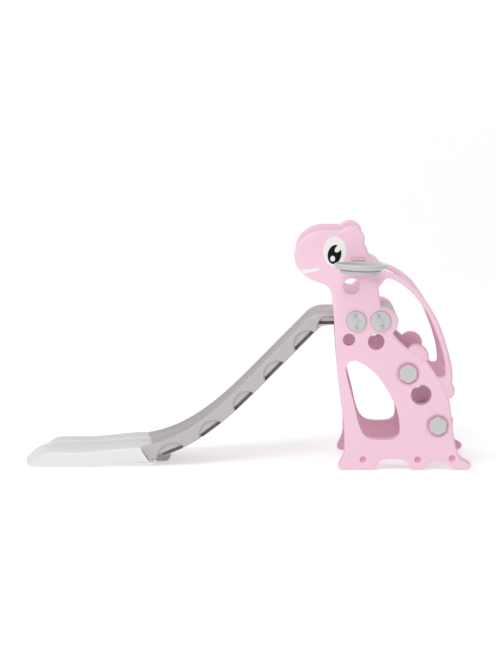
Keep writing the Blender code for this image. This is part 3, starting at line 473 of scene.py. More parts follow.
def joined(*strokes):
    """Strokes drawn one after the other, without their double points."""
    outline = []
    for stroke in strokes:
        for point in stroke:
            if not outline or (Vector(point) - Vector(outline[-1])).length > NO_POINT:
                outline.append(point)
    if (Vector(outline[0]) - Vector(outline[-1])).length < NO_POINT:
        outline.pop()
    return outline


def counter_clockwise(loop):
    area = sum(a[0] * b[1] - b[0] * a[1] for a, b in zip(loop, loop[1:] + loop[:1]))
    return loop if area > 0 else loop[::-1]


def moved_inward(loop, distance):
    """A counter-clockwise loop with each point moved to its left."""
    result = []
    count = len(loop)
    for i in range(count):
        before = (Vector(loop[i]) - Vector(loop[i - 1])).normalized()
        after = (Vector(loop[(i + 1) % count]) - Vector(loop[i])).normalized()
        normal = Vector((-before.y - after.y, before.x + after.x))
        normal /= max(0.5, normal.length_squared / 2)
        result.append((loop[i][0] + normal.x * distance, loop[i][1] + normal.y * distance))
    return result


def mesh_from(name, vertices, faces):
    """A closed smooth mesh with its normals outward."""
    mesh = bpy.data.meshes.new(name)
    mesh.from_pydata(vertices, [], faces)
    work = bmesh.new()
    work.from_mesh(mesh)
    bmesh.ops.remove_doubles(work, verts=work.verts, dist=NO_POINT)
    bmesh.ops.recalc_face_normals(work, faces=work.faces)
    work.to_mesh(mesh)
    work.free()
    mesh.shade_smooth()
    return mesh


def plate(name, outline, holes, y0, y1, rounding, hole_rounding=None):
    """A plate in the XZ plane, its outline and hole rims rounded."""
    rims = [counter_clockwise(outline)] + [counter_clockwise(h)[::-1] for h in holes]
    radii = [rounding] + [hole_rounding or rounding] * len(holes)
    way = 1 if y1 > y0 else -1
    vertices = []
    faces = []
    front = []
    back = []
    for rim, radius in zip(rims, radii):
        turns = [math.pi / 2 * j / ROUND_LEVELS for j in range(ROUND_LEVELS + 1)]
        if not radius:
            turns = [math.pi / 2]
        levels = [(radius - radius * math.cos(t), radius - radius * math.sin(t)) for t in turns]
        stack = [(y0 + way * depth, inset) for depth, inset in levels]
        stack += [(y1 - way * depth, inset) for depth, inset in reversed(levels)]
        first = len(vertices)
        count = len(rim)
        for y, inset in stack:
            vertices += [(x, y, z) for x, z in moved_inward(rim, inset)]
        for level in range(len(stack) - 1):
            for i in range(count):
                j = (i + 1) % count
                low = first + level * count
                faces.append((low + i, low + j, low + count + j, low + count + i))
        front += range(first, first + count)
        back += range(first + (len(stack) - 1) * count, first + len(stack) * count)
    flat = [[Vector((x, z, 0)) for x, z in moved_inward(rim, radius)]
            for rim, radius in zip(rims, radii)]
    for triangle in tessellate_polygon(flat):
        faces.append(tuple(front[i] for i in triangle))
        faces.append(tuple(back[i] for i in reversed(triangle)))
    return mesh_from(name, vertices, faces)


def loft(name, loops):
    """A skin over loops with the same number of points, closed at both ends."""
    count = len(loops[0])
    vertices = [point for loop in loops for point in loop]
    faces = [tuple(range(count))]
    for k in range(len(loops) - 1):
        for i in range(count):
            j = (i + 1) % count
            faces.append((k * count + i, k * count + j,
                          (k + 1) * count + j, (k + 1) * count + i))
    faces.append(tuple((len(loops) - 1) * count + i for i in range(count)))
    return mesh_from(name, vertices, faces)


def turned(name, profile, sides=72, closed=False):
    """A profile of (radius, height) turned about Z."""
    rows = []
    for radius, height in profile:
        rows.append([(radius * math.cos(a), radius * math.sin(a), height)
                     for a in (2 * math.pi * i / sides for i in range(sides))])
    if not closed:
        return loft(name, rows)
    rows.append(rows[0])
    vertices = [point for row in rows for point in row]
    faces = [(k * sides + i, k * sides + (i + 1) % sides,
              (k + 1) * sides + (i + 1) % sides, (k + 1) * sides + i)
             for k in range(len(rows) - 1) for i in range(sides)]
    return mesh_from(name, vertices, faces)


# %% [markdown]
# ## Workshop
# A piece is a mesh placed in the frame. Cutters are used up as soon as they
# have cut, and every finished piece gets soft, weighted normals so that its
# flats read flat and its roundings read round.

# %% Pieces, cuts and finishing
SHARP_ANGLE = math.radians(38)


def placed(name, mesh):
    """An object at the drawing's zero."""
    piece = bpy.data.objects.new(name, mesh)
    piece.location = SHIFT
    bpy.context.scene.collection.objects.link(piece)
    return piece


def outward(piece, x, z, side, y=OUTER_FACE):
    """Stand a piece on a panel's outer face, its own Z pointing outward."""
    piece.location = SHIFT + Vector((x, side * y, z))
    piece.rotation_euler = (-side * math.pi / 2, 0, 0)


def combine(piece, tool, operation, overlaps=False):
    """Cut or join with a tool, then use the tool up."""
    change = piece.modifiers.new("change", "BOOLEAN")
    change.operation = operation
    change.object = tool
    change.solver = "EXACT"
    change.use_self = overlaps
    bpy.context.view_layer.update()
    graph = bpy.context.evaluated_depsgraph_get()
    result = bpy.data.meshes.new_from_object(piece.evaluated_get(graph))
    piece.modifiers.clear()
    piece.data = result
    bpy.data.objects.remove(tool)


def merged(name, meshes):
    """Several meshes as one."""
    work = bmesh.new()
    for mesh in meshes:
        work.from_mesh(mesh)
    mesh = bpy.data.meshes.new(name)
    work.to_mesh(mesh)
    work.free()
    return mesh


def finished(piece, slot, body, *nodes, sharp=SHARP_ANGLE):
    """Normals, material, body and the CAD nodes it stands for."""
    mesh = piece.data
    mesh.materials.clear()
    mesh.materials.append(PLASTICS[slot])
    for polygon in mesh.polygons:
        polygon.material_index = 0
        polygon.use_smooth = True
    mesh.set_sharp_from_angle(angle=sharp)
    weighted = piece.modifiers.new("weighted", "WEIGHTED_NORMAL")
    weighted.keep_sharp = True
    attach(piece, body)
    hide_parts(*nodes)
    print(piece.name, len(mesh.polygons), "faces")
    return piece


# %% [markdown]
# ## Side panels
# One panel is a single hollow moulding: an animal's head, neck and body on two
# feet, with a handrail that arches from the nape to the lower back and three
# blunt spikes down the spine. Its edges are rounded by 8 mm and its holes by 3.

# %% Draw the panel
FRONT = drawn((15, 82), (12, 168), (2, 252), (-9, 340), (-17, 446), (-23, 551),
              (-28, 625), (-31, 652), (-37, 672), (-48, 686), (-60, 694))
JAW_AND_BROW = drawn((-60, 694), (-85, 702), (-110, 712), (-131, 726), (-148, 742),
                     (-159, 759), (-166, 777), (-169, 796), (-165, 822), (-150, 849),
                     (-132, 867), (-110, 880), (-87, 888), (-56, 891), (-25, 891), (2, 889))
CREST = drawn((2, 889), (9, 893), (21, 900), (40, 905), (57, 903), (74, 893))
NAPE = drawn((74, 893), (84, 880), (89, 862), (87, 840))
NECK = drawn((87, 840), (97, 819), (109, 795), (122, 760), (132, 720), (138, 685),
             (142, 660), (147, 622), (150, 606))
SPIKE = arc((0.159, 0.553), 0.0535, 96, -47, 30)
BACK = drawn((197, 505), (222, 477), (254, 450), (288, 430), (323, 401), (362, 343),
             (386, 300), (402, 258), (407, 222), (414, 172), (420, 124), (429, 82),
             (440, 54), (456, 39), (473, 30))
TAIL = drawn((473, 30), (482, 21), (480, 10), (468, 2), (456, 0))
REAR_ARCH = drawn((438, 0), (420, 6), (400, 18), (376, 29), (352, 34), (331, 29),
                  (318, 15), (307, 3), (296, 0))
FRONT_ARCH = drawn((270, 0), (260, 8), (250, 27), (230, 39), (192, 42), (156, 39),
                   (138, 25), (129, 8), (118, 0))
TOE = drawn((12, 0), (-2, 4), (-8, 15), (-2, 32), (9, 54), (15, 82))
BODY = joined(FRONT, JAW_AND_BROW, CREST, NAPE, NECK, SPIKE, BACK, TAIL,
              REAR_ARCH, FRONT_ARCH, TOE)

RAIL_OUTER = drawn((110, 776), (125, 772), (139, 765), (147, 756), (155, 746), (166, 740),
                   (184, 734), (208, 725), (228, 715), (250, 700), (284, 670),
                   (312, 632), (340, 588), (365, 538), (384, 484), (400, 430), (410.5, 382),
                   (413.5, 334))
RAIL_SPIKE = arc((0.385, 0.297), 0.0362, 48, -48, 14)
RAIL_INNER = drawn((384.5, 356), (384.5, 376), (379, 418), (364, 474), (344, 528), (320, 582),
                   (288, 630), (254, 669), (222, 694), (190, 711), (172, 715))
RAIL_ROOT = drawn((172, 715), (161, 706), (150, 691), (138, 678))
RAIL = joined(RAIL_OUTER, RAIL_SPIKE, [(0.380, 0.262), (0.330, 0.349)],
              [(0.360, 0.349), (0.378, 0.349)], RAIL_INNER, RAIL_ROOT,
              [(0.095, 0.672), (0.070, 0.775)])
TEARDROP = joined(drawn((55, 411), (33, 405), (22, 390), (22, 366), (33, 316), (49, 256),
                        (65, 184), (82, 142), (104, 122), (132, 116), (160, 115),
                        (190, 117), (209, 126), (218, 142), (219, 166), (212, 212),
                        (199, 250), (167, 310), (128, 363), (90, 394), (55, 411)))
ROUND_HOLES = (((0.041, 0.685), 0.0300), ((0.032, 0.488), 0.0222),
               ((0.132, 0.480), 0.0302), ((0.298, 0.282), 0.0378))
MID_SPIKE = ((0.281, 0.425), 0.0440)
print("outline points", len(BODY), len(RAIL), len(TEARDROP))

# %% [markdown]
# Round seats take the knobs, wide soft dishes take the caps, three shallow
# dimples mark the feet, and the near panel has a socket for the hoop. Each
# cutter flares at its mouth, so every rim it leaves is slightly rounded.

# %% Mould the two panels
PANEL_ROUND = 0.008
HOLE_ROUND = 0.003
RAIL_SETBACK = 0.0025
KNOB_PLACES = {"front_knob": (0.058, 0.557), "rear_knob": (0.148, 0.557)}
CAP_PLACES = {"lower_cap": (0.360, 0.167), "upper_cap": (0.250, 0.362)}
DIMPLES = ((0.084, 0.041), (0.286, 0.040), (0.413, 0.045))
KNOB_SEAT = ((0.008, -0.006), (0.0368, -0.006), (0.0368, -0.0015), (0.0374, -0.0004),
             (0.0384, 0.0), (0.0386, 0.004))
CAP_DISH = ((0.010, -0.007), (0.0345, -0.007), (0.0380, -0.0055), (0.0420, -0.0028),
            (0.0460, -0.0010), (0.0500, -0.0002), (0.0530, 0.0), (0.0532, 0.004))
DIMPLE = ((0.0010, -0.0100), (0.0060, -0.0094), (0.0098, -0.0072), (0.0118, -0.0034),
          (0.0130, -0.0010), (0.0145, 0.0), (0.0147, 0.004))
HOOP_X = 0.0710
SOCKET_X = 0.0670
HOOP_Z = 0.767
SOCKET_HALF = 0.0245
SOCKET_BELOW = 0.0135      # from the ring's middle down to the socket's floor
SOCKET_TALL = 0.027
SOCKET_DEEP = 0.032
SURROUND = 0.003           # the shallow recess is wider than the socket by this
SURROUND_TALL = 0.039      # from the socket's floor to the recess's top
SURROUND_DEEP = 0.002
CUT_PAST = 0.010


def mould_panel(side_name):
    """One panel with its rail, spikes, seats, dishes and dimples."""
    side = SIDES[side_name]
    inner = side * HALF_GAP
    outer = side * OUTER_FACE
    back = side * RAIL_SETBACK
    holes = [circle(*hole) for hole in ROUND_HOLES] + [TEARDROP]
    panel = placed(side_name + "_panel_skin",
                   plate("skin", BODY, holes, inner, outer, PANEL_ROUND, HOLE_ROUND))
    combine(panel, placed("rail", plate("rail", RAIL, [], inner + back, outer - back,
                                        PANEL_ROUND)), "UNION")
    combine(panel, placed("spike", plate("spike", circle(*MID_SPIKE), [], inner + 1.2 * back,
                                         outer - 1.2 * back, PANEL_ROUND)), "UNION")
    cuts = [(KNOB_SEAT, place) for place in KNOB_PLACES.values()]
    cuts += [(CAP_DISH, place) for place in CAP_PLACES.values()]
    cuts += [(DIMPLE, place) for place in DIMPLES]
    for profile, (x, z) in cuts:
        cutter = placed("cutter", turned("cutter", profile, 64))
        outward(cutter, x, z, side)
        combine(panel, cutter, "DIFFERENCE")
    if side_name == "left":
        low = HOOP_Z - SOCKET_BELOW
        frame_outline = rounded_box(SOCKET_X - SOCKET_HALF - SURROUND,
                                    SOCKET_X + SOCKET_HALF + SURROUND,
                                    low - SURROUND, low + SURROUND_TALL, 0.008)
        combine(panel, placed("surround", plate("surround", frame_outline, [],
                                                outer - CUT_PAST, outer + SURROUND_DEEP, 0.0015)),
                "DIFFERENCE")
        socket = rounded_box(SOCKET_X - SOCKET_HALF, SOCKET_X + SOCKET_HALF, low,
                             low + SOCKET_TALL, 0.005)
        combine(panel, placed("socket", plate("socket", socket, [], outer - CUT_PAST,
                                              outer + SOCKET_DEEP, 0)), "DIFFERENCE")
    finished(panel, "pink_plastic", "frame", side_name + "_panel")


for side_name in SIDES:
    mould_panel(side_name)

# %% [markdown]
# ## Face
# The eye is an oval of white film and the pupil a darker, leaning oval over
# it. One round glint is cut inside the pupil and a longer one opens through
# its upper edge. The mouth is a white strip let into the rounded snout.

# %% Eyes, pupils and mouths
EYE = ((-0.020, 0.813), 0.0425, 0.057)
PUPIL = ((-0.0216, 0.8030), 0.0245, 0.0352, -12.0)
GLINTS = (((-0.0085, 0.8240), 0.0098, 0.0160, -38.0), ((-0.0285, 0.7876), 0.0092, 0.0107, 0.0))
FILM = 0.0008
FILM_GAP = 0.0003
MOUTH = joined(drawn((-190, 744), (-147, 747), (-112, 749), (-93, 753), (-82, 755)),
               drawn((-82, 755), (-77, 753.5), (-76.5, 750), (-80, 745)),
               drawn((-80, 745), (-97, 740), (-132, 733), (-190, 722)))
MOUTH_PROUD = 0.0002

for side_name, side in SIDES.items():
    near = OUTER_FACE + FILM_GAP
    eye = placed(side_name + "_eye_film",
                 plate("eye", ellipse(*EYE, 0.0), [], side * near, side * (near + FILM), 0.0003))
    finished(eye, "sticker_white", "frame", side_name + "_eye")
    near += FILM + FILM_GAP
    pupil = placed(side_name + "_pupil_film",
                   plate("pupil", ellipse(*PUPIL), [], side * near, side * (near + FILM), 0.0003))
    for glint in GLINTS:
        combine(pupil, placed("glint", plate("glint", ellipse(*glint), [], side * (near - 0.01),
                                             side * (near + 0.01), 0)), "DIFFERENCE")
    finished(pupil, "sticker_black", "frame", side_name + "_pupil")
    outer = side * OUTER_FACE
    mouth = placed(side_name + "_mouth_strip",
                   plate("mouth", MOUTH, [], outer - side * 0.003, outer + side * 0.01, 0))
    proud = moved_inward(counter_clockwise(BODY), -MOUTH_PROUD)
    skin = placed("skin", plate("skin", proud, [], side * HALF_GAP,
                                outer + side * MOUTH_PROUD, PANEL_ROUND))
    combine(mouth, skin, "INTERSECT")
    finished(mouth, "mouth_white", "frame", side_name + "_mouth")

# %% [markdown]
# ## Knobs and caps
# The platform is held by round knobs with a raised grip that a hand can turn:
# a short low hump, two slots beyond each end of it and a small boss in the
# middle. The steps are held by six-sided caps with generous corners.

# %% Turn the knobs
KNOB_FRONT = 0.0103
KNOB_PROFILE = [(0.0110, -0.0800), (0.0140, -0.0770), (0.0140, -0.0057), (0.0360, -0.0057),
                (0.0365, -0.0052)]
KNOB_PROFILE += [(r, h) for r, h in arc((0.0330, 0.0063), 0.0035, 0, 78, 5)]
KNOB_PROFILE += [(0.0290, 0.0101), (0.0180, 0.0103), (0.0010, KNOB_FRONT)]
BOSS_PROFILE = [(0.0075, 0.0090), (0.0070, 0.0122), (0.0058, 0.0138), (0.0040, 0.0140),
                (0.0030, 0.0134), (0.0010, 0.0130)]
GRIP_TURNS = {"front_knob": -8.0, "rear_knob": -20.0}


def bar(length, width, low, high, soft, shift=(0.0, 0.0)):
    """A raised bar along the grip, softened at its top edges."""
    outline = rounded_box(-width / 2, width / 2, -length / 2, length / 2, width / 2 - 0.0002)
    loops = []
    for height, inset in ((low, 0.0), (high - soft, 0.0), (high - 0.5 * soft, 0.13 * soft),
                          (high - 0.13 * soft, 0.5 * soft), (high, soft)):
        loops.append([(u + shift[0], v + shift[1], height)
                      for u, v in moved_inward(outline, inset)])
    return loft("bar", loops)


def turn_knob(side_name, kind):
    """A knob on its stem, turned to where it came to rest."""
    side = SIDES[side_name]
    knob = placed(f"{side_name}_{kind}_grip", turned("disc", KNOB_PROFILE, 80))
    slots = [bar(0.0170, 0.0022, KNOB_FRONT - 0.0050, KNOB_FRONT + 0.0050, 0.0004,
                 (beside * 0.0036, end * 0.0225)) for end in (-1, 1) for beside in (-1, 1)]
    combine(knob, placed("slots", merged("slots", slots)), "DIFFERENCE")
    hump = bar(0.0280, 0.0130, KNOB_FRONT - 0.0040, KNOB_FRONT + 0.0028, 0.0024)
    knob.data = merged("knob", [knob.data, hump, turned("boss", BOSS_PROFILE, 32)])
    outward(knob, *KNOB_PLACES[kind], side)
    knob.rotation_euler[1] = math.radians(GRIP_TURNS[kind])
    name = f"{side_name}_{kind}"
    finished(knob, "light_grey_plastic", name + "_body", name)


for side_name in SIDES:
    for kind in KNOB_PLACES:
        turn_knob(side_name, kind)

# %% Make the caps
CAP_RADIUS = 0.034
CAP_CORNER = 0.013
CAP_BACK = -0.0067
CAP_FRONT = 0.0073


def hexagon(inset):
    """The cap's outline, point up, its corners round."""
    outline = []
    for i in range(6):
        a = math.radians(60 * i + 90)
        middle = ((CAP_RADIUS - CAP_CORNER) * math.cos(a), (CAP_RADIUS - CAP_CORNER) * math.sin(a))
        outline += arc(middle, CAP_CORNER - inset, 60 * i + 60, 60 * i + 120, 9)
    return outline


def make_cap(side_name, kind):
    """A cap on its stem."""
    edge = 0.0032
    rows = [(CAP_BACK, 0.0008), (CAP_BACK + 0.0008, 0.0)]
    rows += [(CAP_FRONT - 0.0003 - edge + edge * math.sin(t), edge - edge * math.cos(t))
             for t in (math.pi / 2 * i / 6 for i in range(6))]
    rows += [(CAP_FRONT - 0.0002, 0.0045), (CAP_FRONT, 0.0100)]
    head = loft("head", [[(u, v, height) for u, v in hexagon(inset)] for height, inset in rows])
    stem = turned("stem", [(0.0110, -0.0800), (0.0140, -0.0770), (0.0140, 0.0)], 40)
    cap = placed(f"{side_name}_{kind}_head", merged("cap", [head, stem]))
    outward(cap, *CAP_PLACES[kind], SIDES[side_name])
    name = f"{side_name}_{kind}"
    finished(cap, "light_grey_plastic", name + "_body", name)


for side_name in SIDES:
    for kind in CAP_PLACES:
        make_cap(side_name, kind)

# %% [markdown]
# ## Boards
# The steps and the platform are hollow boards with well-rounded noses. The
# platform's front edge is cut back for the lip of the chute.

# %% Make the boards
BOARD_ROUND = 0.010
LIP_TOP = 0.577
LIP_THICK = 0.016
LIP_BACK = 0.036
LIP_HALF = 0.136


def make_board(node):
    """A board in the box of its CAD node."""
    low, high = (Vector(corner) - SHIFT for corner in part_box(node))
    board = placed(node + "_board",
                   plate(node, rounded_box(low.x, high.x, low.z, high.z, BOARD_ROUND, 10), [],
                         low.y, high.y, 0.0008))
    if node == "platform":
        ledge = [(low.x - 0.010, LIP_TOP - LIP_THICK - 0.0003),
                 (LIP_BACK + 0.0003, LIP_TOP - LIP_THICK - 0.0003),
                 (LIP_BACK + 0.0003, high.z + 0.010), (low.x - 0.010, high.z + 0.010)]
        combine(board, placed("ledge", plate("ledge", ledge, [], -LIP_HALF - 0.0004,
                                             LIP_HALF + 0.0004, 0)), "DIFFERENCE")
    finished(board, "grey_plastic", "frame", node)


for node in ("platform", "upper_step", "lower_step"):
    make_board(node)

# %% [markdown]
# ## Chute
# The chute is a double-wall moulding swept along its rails: flat at the entry,
# a straight slope, then a long easy bend into the run-out. The trough is
# dished between half-round rails. Along each outer side six pockets tie the
# two walls together, each with a deep slot just above the lower edge.

# %% The chute's path and section
PLATFORM_TOP = 0.585
CHUTE_HALF = 0.170
CHUTE_REACH = 0.750
CHUTE_WALL = 0.034
CHUTE_HEIGHT = 0.055
ENTRY_HEIGHT = 0.043
ENTRY_DROP = 0.005         # the rails below the platform at the entry
ENTRY_DIP = 0.003          # the floor below the rails at the entry
FLAT_RUN = 0.035           # rail before the walls start to grow
GROW_RUN = 0.110           # and the rail over which they do
TOP_BEND = 0.036
LOW_BEND = 0.290
LOW_FULLNESS = 0.72
TROUGH_DEPTH = 0.038
RAIL_CREST = 0.012
GROOVE = 0.0016            # a fine groove along the foot of each bank
SHELF = 0.34               # where the bank has a narrow shelf, as a share of its run
END_SLANT = 21.0
KNEE_X = -0.570
KNEE_Z = 0.109
END_Z = 0.077


def ease(t):
    t = min(1.0, max(0.0, t))
    return t * t * (3 - 2 * t)


def bend(before, corner, after, length_in, length_out, count, fullness=0.62):
    """A smooth bend that leaves one straight line and joins the next."""
    p0 = corner + (before - corner).normalized() * length_in
    p3 = corner + (after - corner).normalized() * length_out
    p1 = p0.lerp(corner, fullness)
    p2 = p3.lerp(corner, fullness)
    points = []
    for i in range(count + 1):
        t = i / count
        s = 1 - t
        points.append(s ** 3 * p0 + 3 * s * s * t * p1 + 3 * s * t * t * p2 + t ** 3 * p3)
    return points


def rail_path():
    """The top of the rails, from the platform down to the end."""
    entry = Vector((0.0117, PLATFORM_TOP - ENTRY_DROP))
    apex = Vector((-0.101, PLATFORM_TOP - ENTRY_DROP))
    knee = Vector((KNEE_X, KNEE_Z))
    end = Vector((-CHUTE_REACH, END_Z))
    top = bend(entry, apex, knee, TOP_BEND, TOP_BEND, 14)
    low = bend(apex, knee, end, LOW_BEND, (end - knee).length, 34, LOW_FULLNESS)
    start = [entry.lerp(top[0], i / 6) for i in range(6)]
    slope = [top[-1].lerp(low[0], i / 22) for i in range(1, 22)]
    return start + top + slope + low


def trough_section(half, height, depth, wall, corner=0.005, crest=RAIL_CREST, groove=GROOVE):
    """Half-round rails and a dished floor: points (y, depth below the rails)."""
    corner = min(corner, height / 3)
    crest = min(crest, height / 3)
    right = [(0.0, -height)]
    right += arc((half - corner, corner - height), corner, -90, 0, 6)
    right += arc((half - crest, -crest), crest, 0, 90, 9)
    top, foot = half - crest - 0.003, half - wall
    for i in range(19):
        t = i / 18
        stepped = 0.45 * ease(t / SHELF) + 0.55 * ease((t - SHELF - 0.10) / (0.90 - SHELF))
        right.append((top + (foot - top) * t, -depth * stepped))
    cut = min(groove, depth / 8)
    right += [(foot - 0.001, -depth - cut), (foot - 0.0035, -depth - cut),
              (foot - 0.0045, -depth), (0.0, -depth)]
    return right + [(-y, w) for y, w in reversed(right[1:-1])]


def chute_stations():
    """Rail point, direction, upward normal, height and floor depth."""
    path = rail_path()
    stations = []
    travelled = [0.0]
    for a, b in zip(path, path[1:]):
        travelled.append(travelled[-1] + (b - a).length)
    for i, point in enumerate(path):
        along = (path[min(i + 1, len(path) - 1)] - path[max(i - 1, 0)]).normalized()
        grown = ease((travelled[i] - FLAT_RUN) / GROW_RUN)
        height = ENTRY_HEIGHT + (CHUTE_HEIGHT - ENTRY_HEIGHT) * grown
        depth = ENTRY_DIP + (TROUGH_DEPTH - ENTRY_DIP) * grown
        stations.append((point, along, Vector((along.y, -along.x)), height, depth))
    return stations, travelled


STATIONS, TRAVELLED = chute_stations()
print("chute", len(STATIONS), "stations over", round(TRAVELLED[-1], 3), "m of rail")

# %% Sweep the chute and scoop its sides
POCKET_COUNT = 6
POCKET_LENGTH = 0.103
LAST_POCKET_LENGTH = 0.118
POCKET_HEIGHT = 0.039
POCKET_POWER = 1.7
POCKET_DEPTH = 0.006
POCKET_FIRST = 0.045
POCKET_LAST = 0.098
POCKET_STEPS = ((0.0100, 0.0020), (0.0003, 0.0020), (-0.0006, 0.0010), (-0.0018, 0.0003),
                (-0.0030, 0.0), (-0.0048, -0.0004), (-0.0060, -0.0016))
SCOOP_RISE = 0.015
SCOOP_DEPTH = 0.034
SCOOP_LIP = 0.0022
BELOW = 0.012


def half_round(length, tall, low):
    """A pocket's outline, open below, between a half-ellipse and a triangle."""
    power = 2 / POCKET_POWER
    shape = [(math.copysign(abs(c) ** power, c) * length / 2, tall * abs(s) ** power)
             for c, s in arc((0, 0), 1.0, 0, 180, 32)]
    return joined([(length / 2, low)], shape, [(-length / 2, low)])


def side_cutter(k, side, loops):
    """A cutter beside the chute at pocket k: loops of (outline, y)."""
    last = TRAVELLED[-1] - POCKET_LAST
    centre = POCKET_FIRST + (last - POCKET_FIRST) / (POCKET_COUNT - 1) * k
    i = max(j for j, s in enumerate(TRAVELLED) if s <= centre)
    point, along, up, height, _ = STATIONS[i]
    origin = point + along * (centre - TRAVELLED[i]) - up * (height + 0.0005)
    rows = []
    for outline, y in loops:
        row = []
        for u, v in outline:
            at = origin + along * u + up * min(v, height - 0.010)
            row.append((at.x, side * y, at.y))
        rows.append(row)
    return loft("cutter", rows)


def pocket_and_scoop(k, side):
    """The two cutters of one pocket: its shallow recess and its undercut foot."""
    length = LAST_POCKET_LENGTH if k == POCKET_COUNT - 1 else POCKET_LENGTH
    outline = half_round(length, POCKET_HEIGHT, -BELOW)
    pocket = [(moved_inward(outline, -grow), CHUTE_HALF + y) for y, grow in POCKET_STEPS]
    back = CHUTE_HALF - POCKET_DEPTH
    foot = [(u * 0.93, min(max(v * 0.95, SCOOP_LIP), SCOOP_RISE)) for u, v in outline]
    scoop = [(foot, back + 0.002), (foot, CHUTE_HALF - SCOOP_DEPTH)]
    return side_cutter(k, side, pocket), side_cutter(k, side, scoop)


def sweep_chute():
    loops = []
    for i, (point, along, up, height, depth) in enumerate(STATIONS):
        slant = math.tan(math.radians(END_SLANT)) if i == len(STATIONS) - 1 else 0.0
        loop = []
        for y, w in trough_section(CHUTE_HALF, height, depth, CHUTE_WALL):
            at = point + up * w + along * (w * slant)
            loop.append((at.x, y, at.y))
        loops.append(loop)
    return placed("chute_slope", loft("chute", loops))


chute = sweep_chute()
cutters = [pocket_and_scoop(k, side) for side in SIDES.values() for k in range(POCKET_COUNT)]
combine(chute, placed("pockets", merged("pockets", [pocket for pocket, _ in cutters])),
        "DIFFERENCE")
combine(chute, placed("scoops", merged("scoops", [scoop for _, scoop in cutters])), "DIFFERENCE")
lip = plate("lip", rounded_box(0.002, LIP_BACK, LIP_TOP - LIP_THICK, LIP_TOP - 0.0002, 0.004),
            [], -LIP_HALF, LIP_HALF, 0)
chute.data = merged("chute", [chute.data, lip])
finished(chute, "grey_plastic", "frame", "slide_chute", sharp=math.radians(30))
FOOT_NODE = frame["nodes"]["chute_foot"]
for material_slot in FOOT_NODE.material_slots:
    material_slot.material = PLASTICS["grey_plastic"]

# %% [markdown]
# ## White run-out
# A shallow trough, a little wider than the chute, that hooks on below it. Its
# rails rise to meet the chute, and at the far end they sink into a rounded
# nose that keeps a low lip all the way round.

# %% Sweep the run-out
EXTENSION_LENGTH = 0.451
EXTENSION_HALF = 0.184
EXTENSION_WALL = 0.030
RAIL_HEIGHT = 0.0585
FLOOR_HEIGHT = 0.020
RAIL_RISE = 0.0175
FLOOR_RISE = 0.013
UNDER_RISE = 0.021
RISE_RUN = 0.250           # the length over which these rises happen
JOINT_GAP = 0.001
TONGUE_REACH = 0.030
TONGUE_LOW = 0.008
TONGUE_HIGH = 0.019
TONGUE_HALF = 0.120
NOSE = ((0.110, 1.000, 1.000, 0.0000), (0.086, 0.990, 0.930, 0.0000),
        (0.068, 0.970, 0.740, 0.0000), (0.051, 0.949, 0.550, 0.0000),
        (0.035, 0.913, 0.455, 0.0000), (0.022, 0.815, 0.400, 0.0015),
        (0.015, 0.717, 0.360, 0.0040), (0.008, 0.543, 0.300, 0.0060),
        (0.003, 0.380, 0.240, 0.0065), (0.000, 0.217, 0.214, 0.0068))


def run_out_stations():
    """Distance from the chute, underside, rail, floor depth and half width."""
    tail = EXTENSION_LENGTH - NOSE[0][0]
    rows = []
    for i in range(36):
        run = tail * i / 36
        near = ease(1 - run / RISE_RUN)
        rail = RAIL_HEIGHT + RAIL_RISE * near
        rows.append((run, UNDER_RISE * near, rail, rail - FLOOR_HEIGHT - FLOOR_RISE * near,
                     EXTENSION_HALF))
    for from_tip, width, height, lift in smooth_through(NOSE, 0.030):
        rail = RAIL_HEIGHT * min(1.0, height)
        rows.append((EXTENSION_LENGTH - max(0.0, from_tip), max(0.0, lift), rail,
                     max(0.0, rail - FLOOR_HEIGHT), EXTENSION_HALF * min(1.0, width)))
    return rows


def sweep_run_out():
    loops = []
    fall = math.atan2(KNEE_Z - END_Z, KNEE_X + CHUTE_REACH)
    slant = math.tan(math.radians(END_SLANT) + fall)
    for run, under, rail, depth, half in run_out_stations():
        x = -CHUTE_REACH - JOINT_GAP - run
        lean = slant if run == 0 else 0.0
        loops.append([(x + (END_Z - rail - w) * lean, y, rail + w)
                      for y, w in trough_section(half, rail - under, depth, EXTENSION_WALL,
                                                 corner=0.010, crest=0.013, groove=0.0)])
    shell = loft("run_out", loops)
    _, high = (Vector(corner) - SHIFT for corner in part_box("chute_extension"))
    tongue = plate("tongue", rounded_box(-CHUTE_REACH - TONGUE_REACH, high.x, TONGUE_LOW,
                                         TONGUE_HIGH, 0.004), [], -TONGUE_HALF, TONGUE_HALF, 0)
    piece = placed("run_out_tray", merged("run_out", [shell, tongue]))
    finished(piece, "white_plastic", "frame", "chute_extension", sharp=math.radians(30))


sweep_run_out()

# %% [markdown]
# ## Ball hoop
# A ring, conical below, with two fine grooves round its side. A thin skirt hangs
# under it beyond a narrow slot, and its eight soft lobes are where a net would tie on. A flat
# spigot at the back drops into the panel's socket.

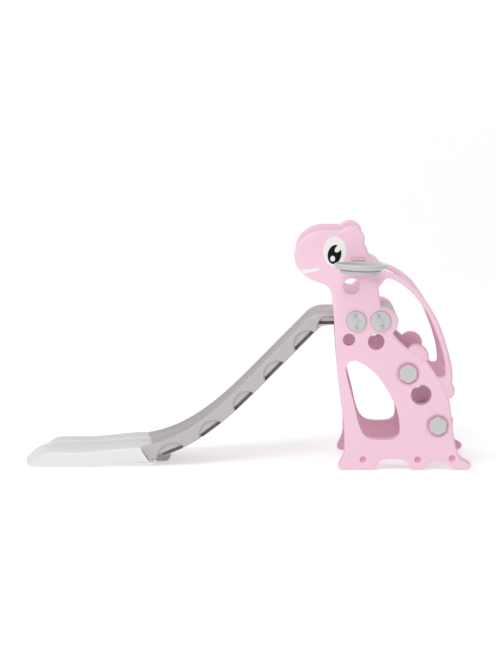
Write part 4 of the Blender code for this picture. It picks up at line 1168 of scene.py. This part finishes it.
# %% Turn the hoop
HOOP_OUT = 0.0955
HOOP_BORE = 0.0785
HOOP_TILT = 2.0
HOOP_STANDOFF = 0.012      # a panel's face to the ring
SPIGOT_HALF_TALL = 0.012
SPIGOT_DEEP = 0.0305       # how far it reaches into the panel
RING_PROFILE = [(0.0795, 0.0100), (0.0785, 0.0088), (0.0785, -0.0100), (0.0765, -0.0100),
                (0.0765, -0.0108), (0.0790, -0.0106), (0.0850, -0.0078), (0.0905, -0.0042),
                (0.0938, -0.0014), (0.0948, 0.0004), (0.0942, 0.0010), (0.0951, 0.0016),
                (0.0955, 0.0040), (0.0947, 0.0046), (0.0953, 0.0052), (0.0946, 0.0072),
                (0.0928, 0.0092), (0.0905, 0.0100)]
SKIRT_OUT = 0.0735
SKIRT_IN = 0.0655
SKIRT_TOP = -0.0145
SLOT_WALL = 0.0675
LOBES = 8
LOBE_VALLEY = -0.0215
LOBE_DROP = 0.0075


def skirt_mesh():
    """The thin skirt under the rim, its lower edge in lobes."""
    sides = LOBES * 18
    rows = []
    for i in range(sides):
        a = 2 * math.pi * i / sides - math.pi / 2
        lobe = 0.5 + 0.5 * math.cos(LOBES * (a + math.pi / 2))
        low = LOBE_VALLEY - LOBE_DROP * lobe
        profile = [(SKIRT_OUT, low + 0.001), (SKIRT_OUT, SKIRT_TOP), (SLOT_WALL, SKIRT_TOP + 0.001),
                   (SLOT_WALL, -0.0095), (HOOP_BORE + 0.003, -0.0095),
                   (HOOP_BORE + 0.003, -0.0020),
                   (SKIRT_IN + 0.001, -0.0020), (SKIRT_IN, -0.0030), (SKIRT_IN, low + 0.001),
                   (SKIRT_IN + 0.001, low), (SKIRT_OUT - 0.001, low)]
        rows.append([(r * math.cos(a), r * math.sin(a), z) for r, z in profile])
    vertices = [point for row in rows for point in row]
    count = len(rows[0])
    faces = []
    for i in range(sides):
        n = (i + 1) % sides
        for j in range(count):
            k = (j + 1) % count
            faces.append((i * count + j, i * count + k, n * count + k, n * count + j))
    return mesh_from("skirt", vertices, faces)


def make_hoop():
    rim_middle = -(OUTER_FACE + HOOP_STANDOFF + HOOP_OUT)
    ring = turned("ring", RING_PROFILE, 120, closed=True)
    both = merged("hoop", [ring, skirt_mesh()])
    both.transform(Matrix.Translation((HOOP_X, rim_middle, HOOP_Z))
                   @ Matrix.Rotation(math.radians(HOOP_TILT), 4, "Y"))
    half = SOCKET_HALF - 0.0015
    spigot = plate("spigot", rounded_box(SOCKET_X - half, SOCKET_X + half,
                                         HOOP_Z - SPIGOT_HALF_TALL, HOOP_Z + SPIGOT_HALF_TALL,
                                         0.004), [],
                   -OUTER_FACE + SPIGOT_DEEP, -OUTER_FACE - 0.022, 0.0008)
    hoop = placed("hoop_ring", merged("hoop", [both, spigot]))
    finished(hoop, "light_grey_plastic", "hoop_body", "ball_hoop")


make_hoop()
